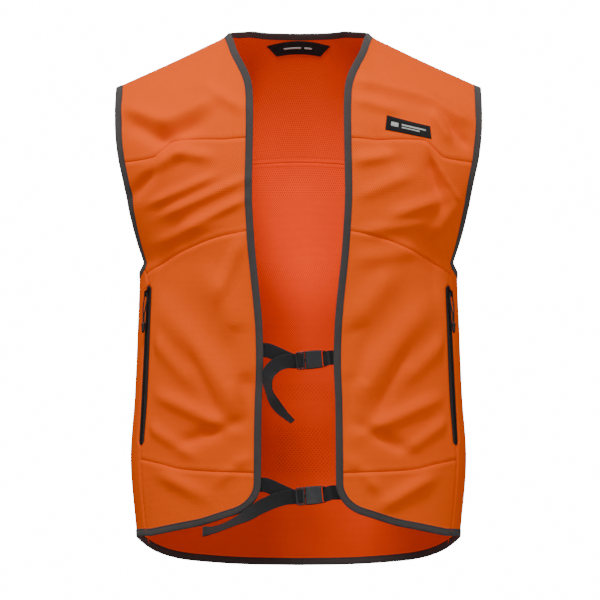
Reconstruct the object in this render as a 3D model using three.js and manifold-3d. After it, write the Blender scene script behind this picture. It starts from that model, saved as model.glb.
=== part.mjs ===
// A blaze orange field vest: open front, two buckled straps, two zipped side pockets and a dropped back hem.
// Units are millimetres, +Z is up and the front faces -Y. The origin is the nape, the back neck's middle.
// The garment is laid out as a skin: an ellipse at every height, closing over the shoulders along a ridge.
// A place on the skin is (angle, level): angle 0 is the centre front, 90 the side and 180 the centre back.
import * as THREE from "three";
import Module from "manifold-3d";
import { mergeVertices } from "three/addons/utils/BufferGeometryUtils.js";

const wasm = await Module();
wasm.setup();

// ---------------------------------------------------------------- driving dimensions
const BODY_LENGTH = 750; // back hem to the neck points
const CHEST_WIDTH = 442; // across the side seams at the underarm
const CHEST_DEPTH = 250; // front to back at the chest
const NECK_HALF_WIDTH = 96; // centre to the front edge at the shoulder seam
const FRONT_HALF_GAP = 50; // centre to the front edge at the straps
const HEM_CORNER = 38; // radius of the front hem corner
const FABRIC = 1; // panel thickness
const SEAM_GAP = 0.5; // between two panels sewn edge to edge
const BINDING_WIDTH = 10;
const BINDING_FABRIC = 0.6; // each leaf of the folded binding
const BINDING_CLEARANCE = 0.8; // around the panel edge inside the fold
const CLEARANCE = 0.35; // between any two pieces that touch

const WEBBING = 20; // strap width
const WEBBING_THICK = 1.3;
const STRAP_TUCK = 20; // strap length sewn behind the front edge
const BUCKLE_X = -4; // outer end of the plug, from the centre line
const BUCKLE_TILT = 5; // degrees, the socket end higher
const UPPER_STRAP = { buckle: 289, right: 304, left: 294 }; // heights above the back hem
const LOWER_STRAP = { buckle: 101.5, right: 118, left: 107.5 };

const PLUG_FRAME = 13; // plug length that stays outside the socket
const SOCKET_LENGTH = 29;
const BUCKLE_WALL = 2.5; // frame beyond the webbing, top and bottom
const BUCKLE_THICK = 8;
const BAR = 2.4; // bars that the webbing wraps
const SLOT = 2.6; // slots that the webbing passes through
const CAVITY_DEPTH = 4.6; // inside the socket, front to back
const CAVITY_LENGTH = 19.5;
const MOUTH_WALL = 6; // side wall between the socket's mouth and its window
const ARM_THICK = 3.8; // front to back
const ARM_LENGTH = 16.5;
const ARM_ROOT = 2.9; // arm height where it joins the frame
const LATCH = 1.1; // how far the latch stands past the mouth wall
const GUIDE = 4.4; // height of the plug's middle tongue
const GUIDE_LENGTH = 15;

const ZIP_LENGTH = 210;
const ZIP_TOP = 388; // level of the top stop
const CHAIN_WIDTH = 4.8; // both rows of teeth
const CHAIN_THICK = 2.2;
const CHAIN_SPLIT = 1.2; // gap that the slider's divider runs in
const TAPE_WIDTH = 13; // each side
const TAPE_THICK = 0.6;
const SLIDER_LENGTH = 10;
const SLIDER_PLATE = 1.1;
const SLIDER_LIP = 0.9;
const STOP_LENGTH = 3;
const CORD_DIAMETER = 2.4;
const CORD_DROP = 40; // from the slider's bridge down to the cord end
const TIP_LENGTH = 15;
const TIP_WIDTH = 6;
const BAG_REACH = 30; // degrees of the garment that the pocket bag runs forward of its zip

const LABEL_WIDTH = 64;
const LABEL_HEIGHT = 17;
const NECK_LABEL = { top: 90, bottom: 62, height: 17 };
const LABEL_THICK = 0.8;

// ---------------------------------------------------------------- curves and the skin
const rad = THREE.MathUtils.degToRad;
const lerp = THREE.MathUtils.lerp;

// A smooth function through rows of [input, value], inputs rising, flat beyond its ends.
function through(rows) {
  const slope = (i) => {
    const a = rows[Math.max(i - 1, 0)];
    const b = rows[Math.min(i + 1, rows.length - 1)];
    return (b[1] - a[1]) / (b[0] - a[0]);
  };
  return (t) => {
    if (t <= rows[0][0]) return rows[0][1];
    if (t >= rows.at(-1)[0]) return rows.at(-1)[1];
    const i = rows.findIndex((row) => row[0] > t) - 1;
    const width = rows[i + 1][0] - rows[i][0];
    const s = (t - rows[i][0]) / width;
    const [p, q] = [rows[i][1], rows[i + 1][1]];
    const [mp, mq] = [slope(i) * width, slope(i + 1) * width];
    return p + s * (mp + s * (3 * (q - p) - 2 * mp - mq + s * (mp + mq - 2 * (q - p))));
  };
}

const tall = (rows) => rows.map(([h, v]) => [h * BODY_LENGTH, v]);
const SHOULDER_START = 0.693 * BODY_LENGTH; // the skin starts to close towards the ridge here
const RIDGE_LEVEL = 0.933 * BODY_LENGTH; // level of the whole shoulder ridge
const SIDE_SEAM = 70; // angle of the seam between front and side panel
const ROUNDING = 2.2; // how squarely the shoulders round over

const halfWidth = through(
  tall([[0, 0.5], [0.075, 0.512], [0.2, 0.529], [0.32, 0.516], [0.44, 0.507], [0.56, 0.5],
    [0.575, 0.504], [0.6, 0.525], [0.633, 0.556], [0.667, 0.59], [0.707, 0.627], [0.745, 0.66],
    [0.8, 0.7], [0.86, 0.73], [0.933, 0.758]])
    .map(([h, v]) => [h, v * CHEST_WIDTH]));
const frontDepth = through(
  tall([[0, 0.47], [0.2, 0.47], [0.4, 0.476], [0.55, 0.5], [0.68, 0.51], [0.933, 0.47]])
    .map(([h, v]) => [h, v * CHEST_DEPTH]));
const backDepth = through(
  tall([[0, 0.49], [0.2, 0.47], [0.4, 0.44], [0.55, 0.46], [0.72, 0.49], [0.933, 0.47]])
    .map(([h, v]) => [h, v * CHEST_DEPTH]));
// Height of the shoulder ridge against distance from the centre; inside the neck it is only a guide.
const ridgeHeight = through(
  [[-0.62, 1.033], [0, 1.053], [0.62, 1.033], [0.95, 1], [1.09, 0.985], [1.31, 0.971], [1.8, 0.941],
    [2.65, 0.892]]
    .map(([x, z]) => [x * NECK_HALF_WIDTH, z * BODY_LENGTH]));

// The point of the skin at an angle in degrees and a level.
function skin(angle, level) {
  const a = rad(angle);
  const x = halfWidth(level) * Math.sin(a);
  const depth = Math.abs(angle) > 90 ? backDepth(level) : frontDepth(level);
  const climb = Math.max(0, (level - SHOULDER_START) / (RIDGE_LEVEL - SHOULDER_START));
  const close = Math.pow(Math.max(0, 1 - Math.pow(Math.min(climb, 1), ROUNDING)), 1 / ROUNDING);
  const z = climb > 0 ? lerp(SHOULDER_START, ridgeHeight(Math.abs(x)), climb) : level;
  const y = -depth * Math.cos(a) * close;
  const seam = Math.abs(angle) > 90 ? 1 : -1; // keeps front and back apart where they meet on the ridge
  return new THREE.Vector3(x, y + (seam * (1 - close) * SEAM_GAP) / 2, z);
}
// A place a distance inside the skin.
function inside(angle, level, distance) {
  const around = skin(angle + 0.5, level).sub(skin(angle - 0.5, level));
  const up = skin(angle, level + 1).sub(skin(angle, level - 1));
  const out = around.cross(up).normalize();
  const at = skin(angle, level);
  return at.addScaledVector(out, -Math.sign(out.x * at.x + out.y * at.y) * distance);
}
const angleOf = (x, level) => THREE.MathUtils.radToDeg(Math.asin(x / halfWidth(level)));

// ---------------------------------------------------------------- pattern lines of one half
// Distance of the front edge from the centre line, against level.
const frontEdge = through(
  tall([[0, 1.06], [0.18, 1.04], [0.31, 1.02], [0.38, 0.98], [0.447, 1], [0.49, 1.05], [0.535, 1.12],
    [0.58, 1.19], [0.624, 1.24], [0.69, 1.29], [0.76, 1.27], [0.81, 1.26], [0.836, 1.29], [0.853, 1.37],
    [0.875, 1.54], [0.896, 1.7], [0.92, 1.83], [0.933, NECK_HALF_WIDTH / FRONT_HALF_GAP]])
    .map(([h, v]) => [h, v * FRONT_HALF_GAP]));
// Lowest line of the front hem, against distance from the centre, without its corner.
const frontHem = through([[0.9, 84], [1.7, 77], [2.65, 62], [3.3, 55], [4.1, 46]]
  .map(([x, z]) => [x * FRONT_HALF_GAP, z]));
// Lowest line of the side and back hem, against angle.
const backHem = through([[SIDE_SEAM, 46], [90, 43], [101, 37], [118, 20], [130, 11], [142, 6], [160, 1.5],
  [180, 0]]);
// Seams across the front, as levels against the share of the way from front edge to outer edge.
const yokeSeam = through([[0, 0.768], [0.49, 0.789], [0.563, 0.787], [0.63, 0.774], [0.69, 0.764],
  [1, 0.761]].map(([u, h]) => [u, h * BODY_LENGTH]));
const chestSeam = through([[0, 0.627], [0.23, 0.613], [0.49, 0.588], [0.74, 0.564], [1, 0.546]]
  .map(([u, h]) => [u, h * BODY_LENGTH]));
const CHEST_ROWS = 10;
const UNDERARM = lerp(chestSeam(1), yokeSeam(1), 1 / CHEST_ROWS); // level where armhole and side seams meet
const UNDERARM_ANGLE = 76; // the side seams lean out to this angle at the underarm
// Distance of the armhole edge from the centre line, against level, on the front and the back alike.
const underarmX = halfWidth(UNDERARM) * Math.sin(rad(UNDERARM_ANGLE));
const armholeX = through([[UNDERARM, underarmX], ...tall([[0.607, 0.508], [0.64, 0.523], [0.68, 0.538],
  [0.72, 0.55], [0.773, 0.566], [0.827, 0.575], [0.88, 0.577], [0.933, 0.575]])
  .map(([h, v]) => [h, v * CHEST_WIDTH])]);
const seamAngle = through([[ZIP_TOP + 8, SIDE_SEAM], [UNDERARM, UNDERARM_ANGLE]]);
const outerAngle = (level) => (level < UNDERARM ? seamAngle(level) : angleOf(armholeX(level), level));
const UNDERARM_DIP = 13; // how far the underarm hangs below the corners where its seams meet
const underarmDip = (angle) => {
  const share = Math.min(Math.abs(angle - 90) / (90 - UNDERARM_ANGLE), 1);
  return UNDERARM_DIP * Math.cos((Math.PI / 2) * share);
};
const hemSeam = through([[0, 134], [0.5, 138], [0.74, 146], [1, 152]]);
const backYokeSeam = 0.735 * BODY_LENGTH;
// Back neck edge, as level against distance from the centre.
const backNeck = through([[-0.25, 0.8975], [0, 0.895], [0.25, 0.8975], [0.5, 0.904], [0.75, 0.916],
  [0.9, 0.9265], [1, 0.933]]
  .map(([x, h]) => [x * NECK_HALF_WIDTH, h * BODY_LENGTH]));

// The place on the back a distance outside the neck edge, square to it, as x and level.
// The share runs from 1 at the left shoulder to -1 at the right.
function besideNeck(share, distance) {
  const side = Math.sign(share) || 1;
  const x = Math.abs(share) * NECK_HALF_WIDTH;
  if (Math.abs(share) > 0.999) return { x: side * (x + distance), level: RIDGE_LEVEL };
  const at = (dx, dz) => skin(180 - angleOf(x + dx, backNeck(x) + dz), backNeck(x) + dz);
  const run = at(0.5, backNeck(x + 0.5) - backNeck(x)).sub(at(-0.5, backNeck(x - 0.5) - backNeck(x)));
  const [acrossStep, downStep] = [at(0.5, 0).sub(at(-0.5, 0)), at(0, -0.5).sub(at(0, 0.5))];
  const [a, b] = [-downStep.dot(run), acrossStep.dot(run)];
  const scale = distance / acrossStep.multiplyScalar(a).addScaledVector(downStep, b).length();
  return { x: side * (x + a * scale), level: backNeck(x) - b * scale };
}

// The front hem line with its rounded corner; inset moves it and the front edge into the panel.
function hemLevel(x, inset = 0) {
  const start = frontEdge(frontHem(FRONT_HALF_GAP) + HEM_CORNER);
  const centre = start + HEM_CORNER;
  const radius = HEM_CORNER - inset;
  const out = Math.min(Math.max(centre - x, 0), radius);
  return frontHem(x) + inset + radius - Math.sqrt(radius * radius - out * out);
}

// ---------------------------------------------------------------- building helpers
const materials = {
  orange: new THREE.MeshStandardMaterial({ color: 0xff5a10, roughness: 0.85, metalness: 0 }),
  binding: new THREE.MeshStandardMaterial({ color: 0x4a4543, roughness: 0.9, metalness: 0 }),
  webbing: new THREE.MeshStandardMaterial({ color: 0x15171a, roughness: 0.8, metalness: 0 }),
  plastic: new THREE.MeshStandardMaterial({ color: 0x1b1d1f, roughness: 0.45, metalness: 0 }),
  zip: new THREE.MeshStandardMaterial({ color: 0x241c1c, roughness: 0.7, metalness: 0 }),
  slider: new THREE.MeshStandardMaterial({ color: 0x2a2a2c, roughness: 0.35, metalness: 0.8 }),
  label: new THREE.MeshStandardMaterial({ color: 0x111111, roughness: 0.75, metalness: 0 }),
};

function node(name, geometry, material) {
  const mesh = new THREE.Mesh(geometry, material);
  mesh.name = name;
  return mesh;
}

// Moves every vertex of a closed geometry by place(vertex), and keeps its faces turned outwards.
function bend(geometry, place) {
  geometry.deleteAttribute("normal");
  geometry.deleteAttribute("uv");
  const bent = mergeVertices(geometry, 1e-5);
  const position = bent.getAttribute("position");
  for (let i = 0; i < position.count; i++) {
    const moved = place(new THREE.Vector3().fromBufferAttribute(position, i));
    position.setXYZ(i, moved.x, moved.y, moved.z);
  }
  const index = bent.index.array;
  const corner = (i) => new THREE.Vector3().fromBufferAttribute(position, index[i]);
  let volume = 0;
  for (let i = 0; i < index.length; i += 3) volume += corner(i).dot(corner(i + 1).cross(corner(i + 2)));
  if (volume >= 0) return bent;
  for (let i = 0; i < index.length; i += 3) [index[i], index[i + 1]] = [index[i + 1], index[i]];
  return bent;
}

// A closed sheet of the given thickness about a grid of points, grid[i][j].
function sheet(grid, thickness) {
  const [nu, nv] = [grid.length - 1, grid[0].length - 1];
  const at = (i, j) => grid[Math.min(Math.max(i, 0), nu)][Math.min(Math.max(j, 0), nv)];
  const normals = grid.map((column, i) => column.map((_, j) => {
    const along = at(i + 1, j).clone().sub(at(i - 1, j));
    const up = at(i, j + 1).clone().sub(at(i, j - 1));
    return along.cross(up).normalize();
  }));
  return bend(new THREE.BoxGeometry(1, 1, 1, nu, nv, 1), (p) => {
    const [i, j] = [Math.round((p.x + 0.5) * nu), Math.round((p.y + 0.5) * nv)];
    return grid[i][j].clone().addScaledVector(normals[i][j], p.z * thickness);
  });
}

// The place a distance along a run of points.
function along(points, distance) {
  let left = distance;
  for (let i = 1; i < points.length; i++) {
    const step = points[i].distanceTo(points[i - 1]);
    if (step >= left || i === points.length - 1) return points[i - 1].clone().lerp(points[i], left / step);
    left -= step;
  }
  return points.at(-1).clone();
}

// The same run of points with its two ends pulled in; only the points near an end move.
function squeeze(points, start, end) {
  const reach = [0];
  for (let i = 1; i < points.length; i++) reach.push(reach.at(-1) + points[i].distanceTo(points[i - 1]));
  const whole = reach.at(-1);
  const near = Math.min(2.5 * start, 0.9 * (whole - end));
  const far = Math.min(2.5 * end, 0.9 * (whole - start));
  return points.map((_, i) => {
    const s = reach[i];
    if (s < near) return along(points, lerp(start, near, s / near));
    return along(points, whole - s < far ? whole - lerp(end, far, (whole - s) / far) : s);
  });
}

// Pulls the rim of a grid inwards along its own rows and columns.
// A distance may be a function of the row or column.
const rowsOf = (grid) => grid[0].map((_, j) => grid.map((column) => column[j]));
function trim(grid, { first = 0, last = 0, low = 0, high = 0 }) {
  const amount = (value, k) => (typeof value === "function" ? value(k) : value);
  const rows = rowsOf(grid).map((row, j) => squeeze(row, amount(first, j), amount(last, j)));
  return rowsOf(rows).map((column, i) => squeeze(column, amount(low, i), amount(high, i)));
}

// Points on a grid of shares u and v; ease spaces the shares.
function gridOf(nu, nv, point, easeU = (u) => u, easeV = (v) => v) {
  return Array.from({ length: nu + 1 }, (_, i) =>
    Array.from({ length: nv + 1 }, (_, j) => point(easeU(i / nu), easeV(j / nv))));
}

// A flat band along stations of {at, side, up}, whose width runs along side and its thickness along up.
function band(stations, width, thickness) {
  const n = stations.length - 1;
  return bend(new THREE.BoxGeometry(1, 1, 1, 1, 1, n), (p) => {
    const s = stations[Math.round((p.z + 0.5) * n)];
    return s.at.clone().addScaledVector(s.side, p.x * width).addScaledVector(s.up, p.y * thickness);
  });
}

// Stations along points, with the width direction given at each point and squared to the path.
function stationsAlong(points, widthAt) {
  return points.map((at, i) => {
    const next = points[Math.min(i + 1, points.length - 1)];
    const ahead = next.clone().sub(points[Math.max(i - 1, 0)]).normalize();
    const side = widthAt(i).clone().addScaledVector(ahead, -widthAt(i).dot(ahead)).normalize();
    return { at, side, up: ahead.clone().cross(side).normalize() };
  });
}

const BINDING_HALF = FABRIC / 2 + BINDING_CLEARANCE + BINDING_FABRIC;
const EDGE_LAP = 3.5; // how much of the panel's edge the binding's lips take
const EDGE_INSET = BINDING_WIDTH - EDGE_LAP; // panel edge, from the outside of its binding

// A binding folded round an edge: a U section run along it.
// Each line starts on the edge and leads into the panel.
function binding(lines, closed = false) {
  const slot = FABRIC / 2 + BINDING_CLEARANCE;
  const [w, h, f] = [BINDING_WIDTH, BINDING_HALF, BINDING_FABRIC];
  const section = [[0, -h], [w, -h], [w, -slot], [f, -slot], [f, slot], [w, slot], [w, h], [0, h]];
  const fold = new THREE.Shape(section.map(([x, y]) => new THREE.Vector2(x, y)));
  const n = lines.length;
  const edge = closed ? lines.map((line) => line[0]) : shorten(lines.map((line) => line[0]), SEAM_GAP);
  const stations = edge.map((at, i) => {
    const next = edge[closed ? (i + 1) % n : Math.min(i + 1, n - 1)].clone().sub(at).normalize();
    const last = at.clone().sub(edge[closed ? (i + n - 1) % n : Math.max(i - 1, 0)]).normalize();
    const ahead = next.add(last).normalize();
    const slant = along(lines[i], BINDING_WIDTH).sub(lines[i][0]).normalize().dot(ahead);
    const lip = along(lines[i], BINDING_WIDTH / Math.sqrt(Math.max(0.5, 1 - slant * slant)));
    const into = lip.sub(lines[i][0]).divideScalar(BINDING_WIDTH);
    return { at, into, out: ahead.clone().cross(into).normalize() };
  });
  const spans = closed ? n : n - 1;
  const geometry = new THREE.ExtrudeGeometry(fold, { depth: spans, steps: spans, bevelEnabled: false });
  if (closed) return bend(openEnded(geometry, spans), (p) => onStation(stations[Math.round(p.z) % n], p));
  return bend(geometry, (p) => onStation(stations[Math.round(p.z)], p));
}
// Moves the ends of a run of points inwards by a distance.
function shorten(points, distance) {
  return [along(points, distance), ...points.slice(1, -1), along(points.slice().reverse(), distance)];
}
const onStation = (s, p) => s.at.clone().addScaledVector(s.into, p.x).addScaledVector(s.out, p.y);

// The same extrusion without its two end faces, for a band that closes on itself.
function openEnded(geometry, depth) {
  const position = geometry.getAttribute("position");
  const kept = [];
  for (let i = 0; i < position.count; i += 3) {
    const z = [0, 1, 2].map((k) => position.getZ(i + k));
    if (z.every((v) => v === 0) || z.every((v) => v === depth)) continue;
    for (let k = i; k < i + 3; k++) kept.push(position.getX(k), position.getY(k), position.getZ(k) % depth);
  }
  return new THREE.BufferGeometry().setAttribute("position", new THREE.Float32BufferAttribute(kept, 3));
}

// Boolean work on closed geometries.
function solidOf(geometry) {
  const bare = geometry.clone();
  bare.deleteAttribute("normal");
  bare.deleteAttribute("uv");
  const merged = mergeVertices(bare, 1e-4);
  return new wasm.Manifold(new wasm.Mesh({
    numProp: 3,
    vertProperties: new Float32Array(merged.getAttribute("position").array),
    triVerts: new Uint32Array(merged.index.array),
  }));
}
function geometryOf(solid) {
  const { vertProperties, triVerts } = solid.getMesh();
  return new THREE.BufferGeometry()
    .setAttribute("position", new THREE.BufferAttribute(vertProperties, 3))
    .setIndex(new THREE.BufferAttribute(triVerts, 1));
}
const joined = (...parts) => parts.map(solidOf).reduce((all, part) => all.add(part));
const cut = (solid, ...tools) => tools.map(solidOf).reduce((all, tool) => all.subtract(tool), solid);
const box = (x0, x1, y0, y1, z0, z1) =>
  new THREE.BoxGeometry(x1 - x0, y1 - y0, z1 - z0).translate((x0 + x1) / 2, (y0 + y1) / 2, (z0 + z1) / 2);

// An outline of [x, z] points made solid from y0 to y1.
function plate(points, y0, y1, bevel = 0) {
  const shape = new THREE.Shape(points.map(([x, z]) => new THREE.Vector2(x, z)));
  const rounded = { bevelSize: bevel, bevelThickness: bevel, bevelOffset: -bevel, bevelSegments: 1 };
  const options = { depth: y1 - y0 - 2 * bevel, bevelEnabled: bevel > 0, ...rounded };
  return new THREE.ExtrudeGeometry(shape, options).rotateX(Math.PI / 2).translate(0, y1 - bevel, 0);
}

// ---------------------------------------------------------------- panels of one half
const YOKE_ROWS = 11;
const HEM_COLUMNS = 12;
const HEM_ROWS = 8;
const HEM_ZIP_REACH = 22; // the hem panel gives way to a zip that ends less than this above its seam
const SIDE_COLUMNS = 10;
const BACK_COLUMNS = 20;
const roundTop = (v) => Math.sin((v * Math.PI) / 2); // closer rows towards the shoulder
const tightCorner = (u) => Math.pow(u, 1.7); // closer columns towards the front edge
const steps = (n, from, to) => Array.from({ length: n + 1 }, (_, i) => lerp(from, to, i / n));

// Places of a front panel between two seams, from the front edge to the armhole or side seam.
function frontGrid(nu, nv, low, high, easeU, easeV) {
  return gridOf(nu, nv, (u, v) => {
    const level = lerp(low(u), high(u), v);
    return skin(lerp(angleOf(frontEdge(level), level), outerAngle(level), u), level);
  }, easeU, easeV);
}
const hemX = (u) => {
  const inner = angleOf(frontEdge(hemSeam(0)), hemSeam(0));
  return halfWidth(frontHem(FRONT_HALF_GAP)) * Math.sin(rad(lerp(inner, SIDE_SEAM, u)));
};
// Rows of the side panel, placed at both ends of the zip and at the underarm.
const zipBottom = ZIP_TOP - ZIP_LENGTH;
const sideRows = [...steps(4, 0, zipBottom - 16), ...steps(6, zipBottom - 8, ZIP_TOP + 8),
  UNDERARM - 1.2 * BINDING_WIDTH, UNDERARM];
const liftedByHem = (row, hem) => row + hem * Math.pow(Math.max(0, 1 - row / zipBottom), 1.5);
// Rows of the lower front panel on the side seam, placed at both ends of the zip as the side panel's are.
const zipRows = [...steps(9, zipBottom - 8, ZIP_TOP + 8), ZIP_TOP + 16];
const lowerEnds = [hemSeam(1), chestSeam(1)];
const between = zipRows.filter((row) => row > lowerEnds[0] + 4 && row < lowerEnds[1] - 4);
const lowerRows = [lowerEnds[0], ...between, lowerEnds[1]];
const lowerShare = (v) => {
  const row = lowerRows[Math.round(v * (lowerRows.length - 1))];
  return (row - lowerEnds[0]) / (lowerEnds[1] - lowerEnds[0]);
};
const grids = {
  yoke: frontGrid(9, YOKE_ROWS, yokeSeam, () => RIDGE_LEVEL, undefined, roundTop),
  chest: frontGrid(9, CHEST_ROWS, chestSeam, yokeSeam),
  lower: frontGrid(9, lowerRows.length - 1, hemSeam, chestSeam, undefined, lowerShare),
  hem: frontGrid(HEM_COLUMNS, HEM_ROWS, (u) => hemLevel(hemX(u)), hemSeam, tightCorner),
  side: gridOf(SIDE_COLUMNS, sideRows.length - 1, (u, v) => {
    const share = 1 - 2 * u; // 1 at the front seam, -1 at the back seam
    const row = sideRows[Math.round(v * (sideRows.length - 1))];
    const dip = underarmDip(90 - share * (90 - UNDERARM_ANGLE));
    const hem = backHem(90 - share * (90 - SIDE_SEAM));
    const level = liftedByHem(row, hem) - dip * Math.pow(row / UNDERARM, 3);
    return skin(90 - share * (90 - seamAngle(level)), level);
  }),
};
const sewn = SEAM_GAP / 2;
// How far a panel stops from the zip's line at a level: clear of the slider along the zip, sewn beyond it.
const besideZip = (level, reach = 10) =>
  (level > zipBottom - reach && level < ZIP_TOP + reach ? zipHalfOpening : sewn);
const zipHalfOpening = CHAIN_WIDTH / 2 + SLIDER_LIP + 3; // centre of the zip to the panel edge

const frontYoke = () =>
  sheet(trim(grids.yoke, { first: EDGE_INSET, last: EDGE_INSET, low: sewn, high: sewn }), FABRIC);
// Insets of the rows that start on the side seam and step up into the armhole binding.
const underarmInset = (row) =>
  [sewn, BINDING_WIDTH + 1.5, BINDING_WIDTH + 0.5, BINDING_WIDTH - 1.5][row] ?? EDGE_INSET;
const frontChest = () =>
  sheet(trim(grids.chest, { first: EDGE_INSET, last: underarmInset, low: sewn, high: sewn }), FABRIC);
function frontLower() {
  const last = (j) => besideZip(grids.lower.at(-1)[j].z);
  return sheet(trim(grids.lower, { first: EDGE_INSET, last, low: sewn, high: sewn }), FABRIC);
}
function frontHemPanel() {
  const last = (j) => besideZip(grids.hem.at(-1)[j].z, HEM_ZIP_REACH);
  return sheet(trim(grids.hem, { first: EDGE_INSET, last, low: EDGE_INSET, high: sewn }), FABRIC);
}
function sidePanel() {
  const first = (j) => besideZip(grids.side[0][j].z);
  return sheet(trim(grids.side, { first, last: sewn, low: EDGE_INSET, high: EDGE_INSET }), FABRIC);
}

// ---------------------------------------------------------------- back panels
// Rows of the back body: those of the side panel, then on to the yoke seam.
const bodyRows = [...sideRows, ...steps(9, UNDERARM, backYokeSeam).slice(1)];
const rimX = (level) => halfWidth(level) * Math.sin(rad(outerAngle(level)));

grids.back = gridOf(BACK_COLUMNS, bodyRows.length - 1, (u, v) => {
  const across = 1 - 2 * u; // 1 at the wearer's left side, -1 at the right
  const row = bodyRows[Math.round(v * (bodyRows.length - 1))];
  const level = liftedByHem(row, backHem(180 - Math.abs(across) * SIDE_SEAM));
  return skin(180 - across * outerAngle(level), level);
});
function backBody() {
  const rim = (j) => underarmInset(Math.max(0, j - sideRows.length + 2));
  return sheet(trim(grids.back, { first: rim, last: rim, low: EDGE_INSET, high: sewn }), FABRIC);
}

// The yoke's columns: across each shoulder and across the neck.
const NECK_COLUMNS = 16;
const SHOULDER_COLUMNS = 5;
const neckShares = steps(NECK_COLUMNS, 1, -1).map((t) => Math.sign(t) * (1 - Math.pow(1 - Math.abs(t), 2)));
function backYokeGrid(inset) {
  const neck = neckShares.map((share) => {
    const top = besideNeck(share, inset);
    const low = (share * NECK_HALF_WIDTH) / rimX(RIDGE_LEVEL);
    return { low, high: top.x / rimX(top.level), level: top.level };
  });
  const shoulder = (from, to) => steps(SHOULDER_COLUMNS, 0, 1)
    .map((t) => ({ low: lerp(from.low, to.low, t), high: lerp(from.high, to.high, t), level: RIDGE_LEVEL }));
  const [left, right] = [{ low: 1, high: 1 }, { low: -1, high: -1 }];
  const columns = [...shoulder(left, neck[0]), ...neck.slice(1), ...shoulder(neck.at(-1), right).slice(1)];
  return gridOf(columns.length - 1, YOKE_ROWS, (u, v) => {
    const column = columns[Math.round(u * (columns.length - 1))];
    const level = lerp(backYokeSeam, column.level, v);
    return skin(180 - angleOf(rimX(level) * lerp(column.low, column.high, v), level), level);
  }, undefined, roundTop);
}
function backYoke() {
  const atShoulder = (i) => i <= SHOULDER_COLUMNS || i >= SHOULDER_COLUMNS + NECK_COLUMNS;
  const high = (i) => (atShoulder(i) ? sewn : 0);
  const rim = { first: EDGE_INSET, last: EDGE_INSET, low: sewn, high };
  return sheet(trim(backYokeGrid(EDGE_INSET), rim), FABRIC);
}

// ---------------------------------------------------------------- bindings
// The runs of points that lead inwards from each side of a grid.
const fromFirst = (grid) => rowsOf(grid);
const fromLast = (grid) => rowsOf(grid).map((row) => row.slice().reverse());
const fromHigh = (grid) => grid.map((column) => column.slice().reverse());

// Front edge from the shoulder down, round the corner and along the front hem to the side seam.
function frontBinding() {
  const downwards = (grid) => fromFirst(grid).reverse();
  const lines = [...downwards(grids.yoke), ...downwards(grids.chest).slice(1)];
  lines.push(...downwards(grids.lower).slice(1));
  const cornerX = frontEdge(frontHem(FRONT_HALF_GAP) + HEM_CORNER) + HEM_CORNER;
  for (const turn of steps(6, 0, 90).slice(0, -1)) {
    const [c, s] = [Math.cos(rad(turn)), Math.sin(rad(turn))];
    const x = cornerX - HEM_CORNER * c;
    const at = (reach) => skin(angleOf(x + reach * c, hemLevel(x) + reach * s), hemLevel(x) + reach * s);
    lines.push([at(0), at(2 * BINDING_WIDTH)]);
  }
  lines.push(...grids.hem.filter((column) => column[0].x > cornerX + 3));
  return binding(lines);
}
// Back and side hem, from one side seam round the back to the other.
function backHemBinding() {
  const mirrored = grids.side.map((column) => column.map((p) => new THREE.Vector3(-p.x, p.y, p.z)));
  return binding([...grids.side, ...grids.back.slice(1), ...mirrored.reverse().slice(1)]);
}
// Back neck, from one shoulder seam to the other.
function neckBinding() {
  const place = (share, distance) => {
    const { x, level } = besideNeck(share, distance);
    return skin(180 - angleOf(x, level), level);
  };
  return binding(neckShares.map((share) => [place(share, 0), place(share, BINDING_WIDTH)]));
}
// The whole armhole: down its front edge, under the arm and up its back edge.
function armholeBinding() {
  const body = sideRows.length - 1;
  const [chest, under, back] = [fromLast(grids.chest), fromHigh(grids.side), fromFirst(grids.back)];
  const diagonal = 0.7 * BINDING_WIDTH;
  const corner = (angle, turn) => [skin(angle, UNDERARM), skin(angle + turn, UNDERARM - diagonal)];
  const turn = diagonal / skin(UNDERARM_ANGLE - 1, UNDERARM).distanceTo(skin(UNDERARM_ANGLE, UNDERARM));
  const front = [...fromLast(grids.yoke).reverse(), ...chest.reverse().slice(1, -2)];
  const rear = [...back.slice(body + 1), ...fromFirst(backYokeGrid(0)).slice(1, -1)];
  const low = [corner(UNDERARM_ANGLE, -turn), ...under.slice(1, -1), corner(180 - UNDERARM_ANGLE, turn)];
  return binding([...front, ...low, ...rear], true);
}

// ---------------------------------------------------------------- zipped side pocket
const channel = CHAIN_THICK / 2 + CLEARANCE; // half the slider's channel, front to back
const sliderHalf = CHAIN_WIDTH / 2 + SLIDER_LIP + CLEARANCE;

// The zip's own frame: Z runs up it, Y points out of the garment and the origin is the top end of its teeth.
function zipFrame() {
  const [top, bottom] = [skin(-SIDE_SEAM, ZIP_TOP), skin(-SIDE_SEAM, ZIP_TOP - ZIP_LENGTH)];
  const up = top.clone().sub(bottom).normalize();
  const middle = ZIP_TOP - ZIP_LENGTH / 2;
  const across = skin(-SIDE_SEAM - 1, middle).sub(skin(-SIDE_SEAM + 1, middle));
  across.addScaledVector(up, -across.dot(up)).normalize();
  const out = up.clone().cross(across);
  if (out.x > 0) out.negate();
  const group = new THREE.Group();
  group.setRotationFromMatrix(new THREE.Matrix4().makeBasis(out.clone().cross(up), out, up));
  group.position.copy(top);
  return group;
}

function zipRow(side) {
  const [inside, outside] = [CHAIN_SPLIT / 2, CHAIN_WIDTH / 2];
  const [x0, x1] = side > 0 ? [inside, outside] : [-outside, -inside];
  return box(x0, x1, -CHAIN_THICK / 2, CHAIN_THICK / 2, -ZIP_LENGTH, -CLEARANCE);
}
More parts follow.
